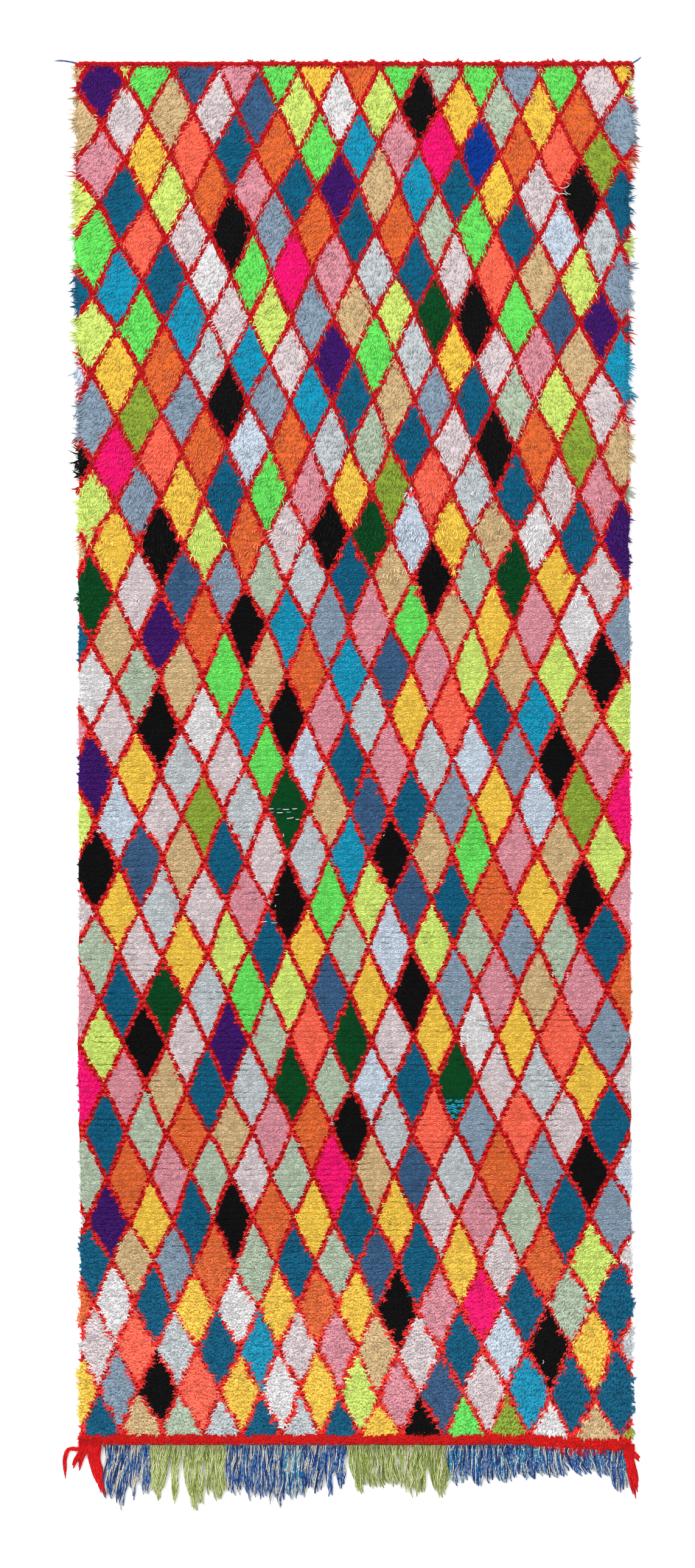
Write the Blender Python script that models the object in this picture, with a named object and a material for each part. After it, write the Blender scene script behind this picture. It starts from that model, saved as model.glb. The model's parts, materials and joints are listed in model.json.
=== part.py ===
"""A hand-knotted shaggy pile rug that lies flat, with a red rolled head, a red foot band, warp fringe and corner tassels.

The origin is the middle of the knotted field's underside. X runs across the rug, +Y towards its rolled head,
and +Z up from the floor that it lies on. Sizes are in metres.
"""

import math

import bpy

# Driving dimensions
RUG_WIDTH = 1.000  # across the warps, between the side edges
RUG_LENGTH = 2.514  # from the outer edge of the rolled head to the lower edge of the foot band
HEAD_DEPTH = 0.010  # of the rolled head, along Y
FOOT_DEPTH = 0.019  # of the foot band, along Y
PIECE_GAP = 0.0003  # between pieces that are sewn or woven together

PILE_HEIGHT_HEAD = 0.0195  # long, shaggy pile
PILE_HEIGHT_FOOT = 0.0155  # trodden pile
PILE_LUMP = 0.0014  # how far the pile's waves rise and fall
PILE_TUFT = 0.0008  # how unevenly the locks stand on those waves
RIM_HEIGHT_SHARE = 0.62  # of the pile's height, left at the side edges
SHOULDER_WIDTH = 0.014  # over which the pile falls to the side edges
PILE_ROWS = 80  # steps of the pile along Y, each with a lock of yarn at both sides
PILE_COLUMNS = 18  # steps of the pile across, between the shoulders
LOCK_TIP_HEIGHT = 0.004
SIDE_VALLEY = 0.003  # how far the rim draws in between two locks

HEAD_STATIONS = 56
FOOT_STATIONS = 48
STRIP_DEPTH = 0.004  # of the woven strip that holds a fringe's roots
STRIP_HEIGHT = 0.004
STRAND_TIP_WIDTH = 0.0020
STRAND_TIP_HEIGHT = 0.0016
STRAND_RINGS = 3  # sections of a strand past its root

HALF_WIDTH = RUG_WIDTH / 2
HEAD_OUTER_Y = RUG_LENGTH / 2
HEAD_INNER_Y = HEAD_OUTER_Y - HEAD_DEPTH
FIELD_HEAD_Y = HEAD_INNER_Y - PIECE_GAP
FOOT_OUTER_Y = -RUG_LENGTH / 2
FOOT_INNER_Y = FOOT_OUTER_Y + FOOT_DEPTH
FIELD_FOOT_Y = FOOT_INNER_Y + PIECE_GAP
STRIP_HEAD_Y = FOOT_OUTER_Y - PIECE_GAP

# Locks of yarn that overhang the side edges: at which share of the length from the foot, how far at the left
# and how far at the right.
SIDE_LOCKS = (
    # (share, left, right)
    (0.00, 0.007, 0.010),
    (0.10, 0.005, 0.007),
    (0.30, 0.006, 0.005),
    (0.50, 0.006, 0.006),
    (0.70, 0.004, 0.005),
    (0.85, 0.009, 0.007),
    (0.95, 0.010, 0.015),
    (1.00, 0.004, 0.008),
)

# Warp fringe, from left to right: where each group of yarn starts and ends across the rug, and its locks.
FRINGE_GROUPS = (
    # (name, left, right, locks)
    ("fringe_blue_left", -0.454, -0.373, 10),
    ("fringe_olive_left", -0.371, -0.237, 17),
    ("fringe_blue_middle", -0.235, -0.017, 27),
    ("fringe_olive_right", -0.015, 0.166, 23),
    ("fringe_blue_right", 0.168, 0.488, 40),
)

# How far the fringe hangs below the foot band, from left to right.
FRINGE_LENGTHS = (
    # (across, length)
    (-0.455, 0.094),
    (-0.415, 0.080),
    (-0.372, 0.102),
    (-0.290, 0.116),
    (-0.240, 0.094),
    (-0.150, 0.112),
    (-0.090, 0.080),
    (-0.020, 0.072),
    (0.040, 0.082),
    (0.130, 0.084),
    (0.180, 0.076),
    (0.270, 0.060),
    (0.380, 0.048),
    (0.430, 0.045),
    (0.450, 0.066),
    (0.490, 0.074),
)

# Loose red yarns at the two lower corners. Each runs from its root through points that are given as steps from
# the rug's corner, across and down.
LEFT_TASSEL = (
    # (root left, root right, ((across, down), ...))
    (-0.4980, -0.4940, ((-0.004, -0.012), (-0.020, -0.012), (-0.027, -0.034), (-0.026, -0.062))),
    (-0.4930, -0.4885, ((0.001, -0.018), (-0.006, -0.030), (-0.012, -0.044))),
    (-0.4875, -0.4830, ((0.010, -0.020), (0.004, -0.036), (-0.001, -0.050))),
    (-0.4820, -0.4765, ((0.021, -0.030), (0.026, -0.056), (0.033, -0.080))),
    (-0.4755, -0.4700, ((0.028, -0.032), (0.033, -0.064), (0.041, -0.092))),
    (-0.4690, -0.4635, ((0.034, -0.034), (0.039, -0.066), (0.047, -0.099))),
)
RIGHT_TASSEL = (
    (0.4900, 0.4935, ((-0.007, -0.028), (-0.002, -0.056), (0.004, -0.082))),
    (0.4945, 0.4980, ((-0.002, -0.028), (0.004, -0.056), (0.010, -0.092))),
    (0.4990, 0.5025, ((0.004, -0.024), (0.010, -0.050), (0.014, -0.074))),
    (0.5035, 0.5070, ((0.008, -0.010), (0.012, -0.016), (0.017, -0.022))),
)
TASSEL_STRIP_HEIGHT = 0.006

# The loose ends of the first warps, beside the rolled head: steps from the head's end, across and up.
LEFT_LOOSE_END = ((0.000, 0.000), (-0.014, 0.003), (-0.031, 0.0055), (-0.047, 0.0055))
RIGHT_LOOSE_END = ((0.000, 0.000), (0.007, 0.003), (0.014, 0.007), (0.021, 0.013))
LOOSE_END_WIDTH = 0.0026

# Colours of the yarns, in linear red, green and blue
MIXED_PILE = (0.53, 0.38, 0.25)
RED_WOOL = (0.60, 0.020, 0.022)
BLUE_WARP = (0.085, 0.17, 0.36)
OLIVE_WARP = (0.33, 0.40, 0.15)


def clear_scene():
    """Empties the scene."""
    for obj in list(bpy.data.objects):
        bpy.data.objects.remove(obj, do_unlink=True)


def yarn_material(name, colour):
    """Dull wool of one colour."""
    material = bpy.data.materials.new(name)
    material.use_nodes = True
    shader = material.node_tree.nodes["Principled BSDF"]
    shader.inputs["Base Color"].default_value = (*colour, 1.0)
    shader.inputs["Roughness"].default_value = 0.92
    shader.inputs["Metallic"].default_value = 0.0
    return material


def add_object(name, points, faces, material):
    """A named object with its own mesh and material."""
    mesh = bpy.data.meshes.new(name)
    mesh.from_pydata(points, [], faces)
    mesh.materials.append(material)
    mesh.update()
    obj = bpy.data.objects.new(name, mesh)
    bpy.context.scene.collection.objects.link(obj)
    return obj


def between(rows, x, column):
    """The value in one column of a table at x, running smoothly from row to row."""
    if x <= rows[0][0]:
        return rows[0][column]
    for low, high in zip(rows, rows[1:]):
        if x <= high[0]:
            share = (x - low[0]) / (high[0] - low[0])
            share = share * share * (3 - 2 * share)
            return low[column] + (high[column] - low[column]) * share
    return rows[-1][column]


def waver(value):
    """A steady but uneven number from -1 to 1 for a place or a count."""
    return 0.5 * math.sin(2.399 * value + 0.4) + 0.3 * math.sin(5.171 * value) + 0.2 * math.sin(9.733 * value + 1.1)


def pile_height(x, y):
    """Height of the pile above the floor, less at the side edges."""
    share = (y - FIELD_FOOT_Y) / (FIELD_HEAD_Y - FIELD_FOOT_Y)
    height = PILE_HEIGHT_FOOT + (PILE_HEIGHT_HEAD - PILE_HEIGHT_FOOT) * share * share
    height += PILE_LUMP * 0.5 * math.sin(21 * x + 9 * math.sin(2.3 * y))
    height += PILE_LUMP * 0.5 * math.sin(17 * y + 5 * math.sin(6.1 * x))
    height += PILE_TUFT * waver(67 * x + 113 * y)
    inwards = min(1.0, (HALF_WIDTH - abs(x)) / SHOULDER_WIDTH)
    return height * (RIM_HEIGHT_SHARE + (1 - RIM_HEIGHT_SHARE) * inwards)


def across_field():
    """Places of the pile's steps across the rug, with the shoulders at both sides."""
    inner = HALF_WIDTH - SHOULDER_WIDTH
    steps = [-inner + 2 * inner * i / PILE_COLUMNS for i in range(PILE_COLUMNS + 1)]
    return [-HALF_WIDTH, *steps, HALF_WIDTH]


def add_pile_field(material):
    """The knotted field: one lumpy slab of pile on its ground weave, with locks of yarn along both sides."""
    xs = across_field()
    length = FIELD_HEAD_Y - FIELD_FOOT_Y
    ys = [FIELD_FOOT_Y + length * j / PILE_ROWS for j in range(PILE_ROWS + 1)]
    wide = len(xs)

    def drawn_in(x, y):
        return x - math.copysign(SIDE_VALLEY * (0.5 + 0.5 * waver(40 * y)), x) if abs(x) == HALF_WIDTH else x

    points = [(drawn_in(x, y), y, pile_height(x, y)) for y in ys for x in xs]
    points += [(drawn_in(x, y), y, 0.0) for y in ys for x in (xs[0], xs[-1])]
    points += [(x, y, 0.0) for y in (ys[0], ys[-1]) for x in xs[1:-1]]
    sides = wide * len(ys)
    ends = sides + 2 * len(ys)

    def top(i, j):
        return j * wide + i

    def floor_side(right, j):
        return sides + 2 * j + right

    def floor_end(head):
        middle = [ends + head * (wide - 2) + i for i in range(wide - 2)]
        row = PILE_ROWS * head
        return [floor_side(0, row), *middle, floor_side(1, row)]

    faces = [
        (top(i, j), top(i + 1, j), top(i + 1, j + 1), top(i, j + 1))
        for j in range(PILE_ROWS)
        for i in range(wide - 1)
    ]
    foot, head = floor_end(0), floor_end(1)
    faces += [(foot[i], foot[i + 1], top(i + 1, 0), top(i, 0)) for i in range(wide - 1)]
    faces += [
        (head[i + 1], head[i], top(i, PILE_ROWS), top(i + 1, PILE_ROWS)) for i in range(wide - 1)
    ]
    for right in (0, 1):
        edge = (wide - 1) * right
        for j in range(PILE_ROWS):
            share = (j + 0.5) / PILE_ROWS
            overhang = between(SIDE_LOCKS, share, 1 + right) * (1 + 0.45 * waver(j + 37 * right))
            reach = HALF_WIDTH + overhang
            along = ys[j] + length / PILE_ROWS * (0.45 + 0.25 * waver(2 * j + 11 * right))
            points.append((reach if right else -reach, along, LOCK_TIP_HEIGHT))
            tip = len(points) - 1
            ring = [floor_side(right, j), floor_side(right, j + 1), top(edge, j + 1), top(edge, j)]
            if not right:
                ring.reverse()
            faces += [(ring[k], ring[(k + 1) % 4], tip) for k in range(4)]
    left_floor = [floor_side(0, j) for j in range(PILE_ROWS + 1)]
    right_floor = [floor_side(1, j) for j in range(PILE_ROWS + 1)]
    faces += [
        (left_floor[j], left_floor[j + 1], right_floor[j + 1], right_floor[j])
        for j in range(1, PILE_ROWS - 1)
    ]
    faces.append((*reversed(foot), left_floor[1], right_floor[1]))
    faces.append((left_floor[-2], *head, right_floor[-2]))
    return add_object("pile_field", points, faces, material)


def add_bar(name, stations, section, material):
    """A bar that runs along X through the stations. section gives its (y, z) points at a station, in one order."""
    rings = [section(x) for x in stations]
    count = len(rings[0])
    points = [(x, y, z) for x, ring in zip(stations, rings) for y, z in ring]
    faces = [
        (
            s * count + k,
            s * count + (k + 1) % count,
            (s + 1) * count + (k + 1) % count,
            (s + 1) * count + k,
        )
        for s in range(len(stations) - 1)
        for k in range(count)
    ]
    faces.append(tuple(reversed(range(count))))
    faces.append(tuple(range((len(stations) - 1) * count, len(stations) * count)))
    return add_object(name, points, faces, material)


def evenly(low, high, steps):
    """Places from low to high."""
    return [low + (high - low) * i / steps for i in range(steps + 1)]


def head_section(x):
    """The rolled head: straight where it meets the pile, rounded and a little wavy at its free edge."""
    outer = HEAD_OUTER_Y + 0.0012 * waver(31 * x)
    crown = 0.0085 + 0.0012 * waver(90 * x)
    return [
        (HEAD_INNER_Y, 0.0),
        (outer - 0.0012, 0.0),
        (outer, 0.0035),
        (outer - 0.0022, 0.0072),
        (HEAD_INNER_Y + 0.0042, crown),
        (HEAD_INNER_Y, 0.0072),
    ]


def foot_section(x):
    """The foot band: a thick row of red knots between the pile and the fringe."""
    crown = 0.0145 + 0.0015 * waver(70 * x)
    return [
        (FOOT_OUTER_Y, 0.0),
        (FOOT_INNER_Y, 0.0),
        (FOOT_INNER_Y, 0.0125),
        (FOOT_INNER_Y - 0.007, crown),
        (FOOT_OUTER_Y + 0.004, crown - 0.0028),
        (FOOT_OUTER_Y, 0.0080),
    ]


def crosswise(points, k):
    """A unit step to the right of a path on the floor, at its point k."""
    before, after = points[max(k - 1, 0)], points[min(k + 1, len(points) - 1)]
    dx, dy = after[0] - before[0], after[1] - before[1]
    size = math.hypot(dx, dy)
    return dy / size, -dx / size


def strand_rings(path, root_width, root_height):
    """Sections of a strand past its root: four points each, from its right foot by the left one round to its right
    top. The path starts at the root, and the strand narrows and flattens towards its tip."""
    rings = []
    for k in range(1, len(path)):
        share = k / (len(path) - 1)
        half = (root_width + (STRAND_TIP_WIDTH - root_width) * share) / 2
        height = root_height + (STRAND_TIP_HEIGHT - root_height) * share
        x, y = path[k]
        right_x, right_y = crosswise(path, k)
        left = (x - right_x * half, y - right_y * half)
        right = (x + right_x * half, y + right_y * half)
        rings.append([(*right, 0.0), (*left, 0.0), (*left, height), (*right, height)])
    return rings


def add_tube_faces(points, faces, ring, rings):
    """Carries a ring of four points through more rings and closes the last."""
    for section in rings:
        first = len(points)
        points.extend(section)
        following = list(range(first, first + 4))
        faces += [(ring[k], ring[(k + 1) % 4], following[(k + 1) % 4], following[k]) for k in range(4)]
        ring = following
    faces.append(tuple(ring))


def add_comb(name, left, right, strands, height, material):
    """A narrow strip against the foot band with strands that grow from its lower side. Each strand is
    (root left, root right, path), and its path starts in the middle of its root."""
    cuts = [left]
    for start, end, _ in strands:
        cuts += [start, end]
    cuts.append(right)
    low, high = STRIP_HEAD_Y - STRIP_DEPTH, STRIP_HEAD_Y
    points, faces = [], []
    for x in cuts:
        points += [(x, low, 0.0), (x, low, height), (x, high, height), (x, high, 0.0)]
    for c in range(len(cuts) - 1):
        a, b = 4 * c, 4 * (c + 1)
        faces.append((a + 1, b + 1, b + 2, a + 2))
        faces.append((a + 2, b + 2, b + 3, a + 3))
        faces.append((a + 3, b + 3, b, a))
        if c % 2 == 0:
            faces.append((a, b, b + 1, a + 1))
    last = 4 * (len(cuts) - 1)
    faces.append((3, 0, 1, 2))
    faces.append((last, last + 3, last + 2, last + 1))
    for c, (start, end, path) in enumerate(strands):
        a, b = 4 * (2 * c + 1), 4 * (2 * c + 2)
        add_tube_faces(points, faces, [a, b, b + 1, a + 1], strand_rings(path, end - start, height))
    return add_object(name, points, faces, material)


def sway(x):
    """How far the tip of a fringe lock lies to the side of its root, so that locks gather into bunches."""
    return 0.0050 * math.sin(71 * x + 0.8) + 0.0035 * math.sin(117 * x + 2.0)


def fringe_strands(left, right, count):
    """The locks of one group of warps, matted into pointed ends."""
    pitch = (right - left) / count
    half = 0.36 * pitch
    strands = []
    for k in range(count):
        x = left + pitch * (k + 0.5)
        length = between(FRINGE_LENGTHS, x, 1) * (1 + 0.10 * waver(3 * k + 100 * left))
        path = []
        for ring in range(STRAND_RINGS + 1):
            share = ring / STRAND_RINGS
            aside = sway(x) * share * share * (length / 0.08)
            path.append((x + aside, STRIP_HEAD_Y - STRIP_DEPTH - (length - STRIP_DEPTH) * share))
        strands.append((x - half, x + half, path))
    return strands


def add_tassel(name, corner, rows, material):
    """Loose red yarns that hang from one lower corner. corner is the rug's corner across."""
    strands = []
    for start, end, steps in rows:
        root = ((start + end) / 2, STRIP_HEAD_Y - STRIP_DEPTH)
        strands.append((start, end, [root, *((corner + x, FOOT_OUTER_Y + y) for x, y in steps)]))
    margin = 0.0005
    left, right = rows[0][0] - margin, rows[-1][1] + margin
    return add_comb(name, left, right, strands, TASSEL_STRIP_HEIGHT, material)


def add_loose_end(name, start_x, steps, material):
    """The end of a warp that was left uncut beside the rolled head."""
    path = [(start_x + x, HEAD_OUTER_Y - HEAD_DEPTH / 2 + y) for x, y in steps]
    half = LOOSE_END_WIDTH / 2
    x, y = path[0]
    right_y = y - math.copysign(half, path[1][0] - x)
    left_y = 2 * y - right_y
    points = [
        (x, right_y, 0.0),
        (x, left_y, 0.0),
        (x, left_y, LOOSE_END_WIDTH),
        (x, right_y, LOOSE_END_WIDTH),
    ]
    faces = [(3, 2, 1, 0)]
    add_tube_faces(points, faces, [0, 1, 2, 3], strand_rings(path, LOOSE_END_WIDTH, LOOSE_END_WIDTH))
    return add_object(name, points, faces, material)


def build():
    """Makes every piece of the rug."""
    clear_scene()
    pile = yarn_material("mixed_pile", MIXED_PILE)
    red = yarn_material("red_wool", RED_WOOL)
    blue = yarn_material("blue_warp", BLUE_WARP)
    olive = yarn_material("olive_warp", OLIVE_WARP)

    add_pile_field(pile)
    add_bar("top_binding", evenly(-HALF_WIDTH, HALF_WIDTH, HEAD_STATIONS), head_section, red)
    add_bar("foot_band", evenly(-HALF_WIDTH, HALF_WIDTH + 0.004, FOOT_STATIONS), foot_section, red)
    for name, left, right, locks in FRINGE_GROUPS:
        yarn = blue if "blue" in name else olive
        add_comb(name, left, right, fringe_strands(left, right, locks), STRIP_HEIGHT, yarn)
    add_tassel("corner_tassel_left", -HALF_WIDTH, LEFT_TASSEL, red)
    add_tassel("corner_tassel_right", HALF_WIDTH, RIGHT_TASSEL, red)
    add_loose_end("loose_end_left", -HALF_WIDTH - PIECE_GAP, LEFT_LOOSE_END, blue)
    add_loose_end("loose_end_right", HALF_WIDTH + PIECE_GAP, RIGHT_LOOSE_END, blue)


build()
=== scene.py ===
"""Looks of a hand-knotted shaggy pile rug that lies flat on a pale floor, seen from straight above.

Each knot of the field is a tuft of yarn. A rule lays a lattice of leaning diamonds over the knots, and each
knot takes the yarn of its diamond, or red on the lattice's lines. Sizes are in metres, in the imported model's
frame: X runs across the rug, +Y towards its rolled head, and +Z up from the floor.
"""

import json
import math
import random

import bmesh
import bpy
import numpy as np
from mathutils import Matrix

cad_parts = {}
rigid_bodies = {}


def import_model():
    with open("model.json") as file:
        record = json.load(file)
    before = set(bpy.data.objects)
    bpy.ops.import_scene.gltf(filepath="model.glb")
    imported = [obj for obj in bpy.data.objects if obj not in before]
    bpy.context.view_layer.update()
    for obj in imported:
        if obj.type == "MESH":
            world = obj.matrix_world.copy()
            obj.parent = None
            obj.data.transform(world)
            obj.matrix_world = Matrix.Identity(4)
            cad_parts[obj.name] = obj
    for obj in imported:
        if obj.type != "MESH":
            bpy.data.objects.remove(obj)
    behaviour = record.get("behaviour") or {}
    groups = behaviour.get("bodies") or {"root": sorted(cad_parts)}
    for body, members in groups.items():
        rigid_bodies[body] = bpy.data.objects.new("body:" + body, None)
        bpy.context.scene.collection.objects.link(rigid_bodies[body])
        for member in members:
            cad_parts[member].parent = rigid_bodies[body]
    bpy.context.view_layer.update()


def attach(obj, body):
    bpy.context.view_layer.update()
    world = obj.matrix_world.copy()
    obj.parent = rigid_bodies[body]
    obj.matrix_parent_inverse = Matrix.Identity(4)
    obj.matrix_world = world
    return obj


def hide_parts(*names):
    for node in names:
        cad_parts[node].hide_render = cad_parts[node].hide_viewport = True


BODY = "root"
BAKE_MAP = "OFBake"
SEED = 41

# Rug
HALF_WIDTH = 0.500
HALF_LENGTH = 1.257
FIELD_HEAD_Y = 1.2467
FIELD_FOOT_Y = -1.2377
HEAD_INNER_Y = 1.2470
FOOT_INNER_Y = -1.2380
FOOT_OUTER_Y = -1.2570
FRINGE_ROOT_Y = -1.2578
CORNER_SAG = 0.009

# Knots
KNOT_COLUMNS = 182
KNOT_ROWS = 248
KNOT_STEP = 2 * HALF_WIDTH / KNOT_COLUMNS
ROW_STEP = (FIELD_HEAD_Y - FIELD_FOOT_Y) / KNOT_ROWS
KNOT_JITTER = 0.0010
ROW_JITTER = 0.0024
ROW_WAVE = 0.0011
BED_HEIGHT_SHAGGY = 0.0105
BED_HEIGHT_TRODDEN = 0.0058
ROOT_SHARE_SHAGGY = 0.76
ROOT_SHARE_TRODDEN = 0.96
RIM_SHARE = 0.55
RIM_WIDTH = 0.010
FAN_WIDTH = 0.036

# Where the shaggy pile at the head gives way to trodden pile, and that to fluffy pile at the foot
SHAGGY_FROM_Y = 0.24
SHAGGY_FULL_Y = 0.62
FLUFFY_FROM_Y = -0.78
FLUFFY_FULL_Y = -1.08
CRACKED_MIDDLE_Y = -0.55
CRACKED_REACH = 0.42

# Tufts: how full they are, how many knots lie low, and how much painted shade the low knots and the gaps
# between clumps get
SHAPES_OF_A_KIND = 9
SHAGGY, TRODDEN, NUB = range(3)
TUFT_SIZE = 1.0
TRODDEN_GIRTH = 0.84
FLUFFY_GIRTH = 1.28
LOW_KNOTS = 0.16
LOW_KNOT_DROP = 0.45
LOW_KNOT_PAINTED_SHADE = 0.22
CLUMP_WIDTH = 0.013
GAP_DROP = 0.35
GAP_PAINTED_SHADE = 0.26
SHADE_RANGE = (0.12, 0.86)

# Lattice of diamonds, counted in half diamonds: columns run across and rows run down from the head.
# Shares of the half width and half length, from -1 to 1, are the places that the counts are worked out from.
MIDDLE_COLUMN = -0.70
COLUMNS_TO_SIDE = 13.4
COLUMN_BOW = 0.64
COLUMN_FAN = 0.34
COLUMN_LEAN = 0.52
COLUMN_CROWDING = 0.52
MIDDLE_ROW = 15.8
ROWS_TO_END = 15.0
ROW_CROWDING = 0.68
ROW_SHIFT = 0.26
ROW_SLOPE = 0.16
ROW_TWIST = 0.22
ROW_SAG = 0.20
ROW_SPREAD = 0.34
LATTICE_WOBBLE = 0.085
LATTICE_ROUGHNESS = 0.024
LATTICE_CROOK = 0.034
CELL_STEPS = 4

# The lattice's red lines, whose tufts are narrower towards the foot and lighter there: partly a more scarlet
# yarn, partly painted light where the trodden pile takes the light more directly
LINE_HALF_WIDTH = 0.067
LINE_REACH = 0.92
LINE_HEIGHT = 0.95
LINE_FOOT_LOSS = 0.16
LINE_FOOT_LIFT = 0.12

# Yarns: colour as red, green and blue from 0 to 255, and how many diamonds of 100 have it
YARNS = {
    # name: (colour, share)
    "teal": ((24, 99, 132), 9.4),
    "yellow": ((244, 205, 88), 8.6),
    "lilac_white": ((221, 208, 210), 7.4),
    "beige": ((214, 186, 141), 6.9),
    "dusty_pink": ((223, 154, 166), 6.9),
    "orange": ((229, 116, 68), 6.1),
    "sage": ((185, 199, 177), 5.3),
    "lime": ((213, 233, 124), 5.3),
    "slate": ((144, 163, 181), 4.8),
    "pale_grey": ((199, 205, 208), 4.8),
    "neon_green": ((116, 228, 106), 4.1),
    "white": ((228, 225, 226), 3.0),
    "pale_blue": ((205, 216, 229), 2.8),
    "denim": ((66, 100, 137), 2.8),
    "cyan": ((38, 157, 191), 2.8),
    "coral": ((255, 118, 96), 2.8),
    "olive": ((149, 173, 66), 1.8),
    "black": ((9, 7, 8), 0.0),
    "purple": ((66, 26, 107), 0.0),
    "hot_pink": ((249, 30, 121), 0.0),
    "dark_green": ((3, 74, 32), 0.0),
    "cobalt": ((4, 60, 154), 0.0),
}
# The lines' red runs from dark crimson at the head to bright scarlet at the foot: partly the yarn's own hue,
# partly painted light.
LINE_HEAD_COLOUR = (190, 14, 26)
LINE_FOOT_COLOUR = (255, 62, 54)
# A darker red for the ground under the lines, as painted shade.
LINE_GROUND_RED_IN_PAINTED_SHADE = (178, 12, 22)
BAND_COLOUR = (224, 20, 20)

# Diamonds of the rare yarns, which the weaver set one by one: column and row in half diamonds
RARE_DIAMONDS = {
    "black": (
        (2, 1), (10, 3), (-7, 4), (5, 6), (-7, 8), (6, 9), (-14, 9), (-10, 11), (-2, 11),
        (3, 12), (-6, 13), (11, 14), (-10, 15), (-4, 15), (9, 16), (-13, 18), (1, 18),
        (-4, 19), (10, 19), (2, 21), (-11, 22), (-1, 24), (10, 25), (-7, 26), (1, 28),
        (8, 29), (-11, 30), (2, 31),
    ),
    "purple": (
        (-13, 0), (-2, 3), (11, 6), (-2, 7), (12, 11), (-10, 13), (-13, 16), (-7, 22),
        (-13, 26), (11, 30),
    ),
    "hot_pink": ((3, 2), (-4, 5), (-12, 9), (12, 17), (-14, 23), (-2, 25), (5, 28)),
    "dark_green": ((3, 6), (0, 11), (-13, 12), (7, 12), (-10, 21), (-1, 22), (-4, 23)),
    "cobalt": ((5, 2),),
}
WORN_DIAMOND = (-4, 17)
TWO_TONE_DIAMOND = (4, 23)
CYAN_FROM = 0.35
EDGE_DIAMONDS = (
    # (x, y, yarn) of half diamonds at the side edges
    (0.490, 1.157, "slate"),
    (0.490, 1.000, "teal"),
    (0.490, 0.835, "slate"),
    (0.490, -0.949, "teal"),
    (0.490, -1.087, "pale_grey"),
    (0.490, -1.214, "teal"),
    (-0.490, 1.238, "beige"),
    (-0.490, 1.187, "beige"),
    (-0.490, 1.007, "lime"),
    (-0.490, 0.836, "teal"),
    (-0.490, -1.218, "teal"),
)

# Wool: how dull it is, how dark the painted shade at a strand's root is, how far strands differ in shade and
# hue, and the painted shade on the ground between the tufts under trodden and under shaggy pile
WOOL_FINISH = {"Roughness": 0.95, "Specular IOR Level": 0.07, "Sheen Weight": 0.03, "Sheen Roughness": 0.6}
FLOOR_FINISH = {"Base Color": (0.93, 0.93, 0.93, 1.0), "Roughness": 0.9, "Specular IOR Level": 0.1}
ROOT_LIGHT = 0.50
LINE_ROOT_LIGHT = 0.45
SHADE_SPREAD = 0.34
LINE_SHADE_SPREAD = 0.30
HUE_DRIFT = 0.012
TRODDEN_BED_LIGHT = 0.64
SHAGGY_BED_LIGHT = 0.84

# Head
HEAD_STATIONS = 360
HEAD_SIDES = 10
HEAD_CORD_RADIUS = 0.0040
WRAP_PITCH = 0.0120
HEAD_TUFTS = (
    *(-0.191, -0.150, -0.113, -0.052, 0.030, 0.075, 0.128),
    *(0.190, 0.262, 0.351, 0.358, 0.379, 0.402, 0.451),
)
CORNER_TUFTS = 9

# Foot band
FOOT_STATIONS = 90
BAND_ROOT_HEIGHT = 0.0036
BAND_SHREDS = 70
BAND_ROWS = (
    # (distance below the field, how tall)
    (0.0020, 1.10),
    (0.0062, 1.35),
    (0.0108, 1.45),
    (0.0150, 1.30),
)

# Twisted yarns: their plies, and their sizes by use
PLIES = 4
DYES = [f"dye_{ply}" for ply in range(PLIES)]
SCRATCH_FIELDS = ("turn", "stretch", "shape", "shade", "phase", "along", "around", *DYES)
MARL_CHANGE = 0.54
FRINGE_YARN = {"Step": 0.0060, "Ply radius": 0.00112, "Lay radius": 0.00185, "Turn length": 0.060}
TASSEL_YARN = {"Step": 0.0040, "Ply radius": 0.00115, "Lay radius": 0.0014, "Turn length": 0.030}
LOOSE_YARN = {"Step": 0.003, "Ply radius": 0.0005, "Lay radius": 0.0004, "Turn length": 0.010}
WISP_YARN = {"Step": 0.002, "Ply radius": 0.0006, "Lay radius": 0.0004, "Turn length": 0.012}
CREAM = (206, 208, 200)
WARM_CREAM = (216, 208, 188)
NAVY = (24, 52, 108)
ROYAL = (24, 86, 176)
SEA_BLUE = (30, 146, 186)
GREY_BLUE = (112, 138, 168)
OLIVE_WARP = (150, 164, 84)
PALE_OLIVE = (194, 204, 140)
DEEP_OLIVE = (110, 126, 56)
BLUE_WARPS = (SEA_BLUE, CREAM, WARM_CREAM, GREY_BLUE, ROYAL, NAVY)
OLIVE_WARPS = (WARM_CREAM, PALE_OLIVE, PALE_OLIVE, OLIVE_WARP, OLIVE_WARP, DEEP_OLIVE)
RED_PLIES = ((200, 16, 24), (222, 26, 30), (176, 10, 20), (212, 20, 26), (190, 14, 22), (226, 34, 34))

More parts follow.
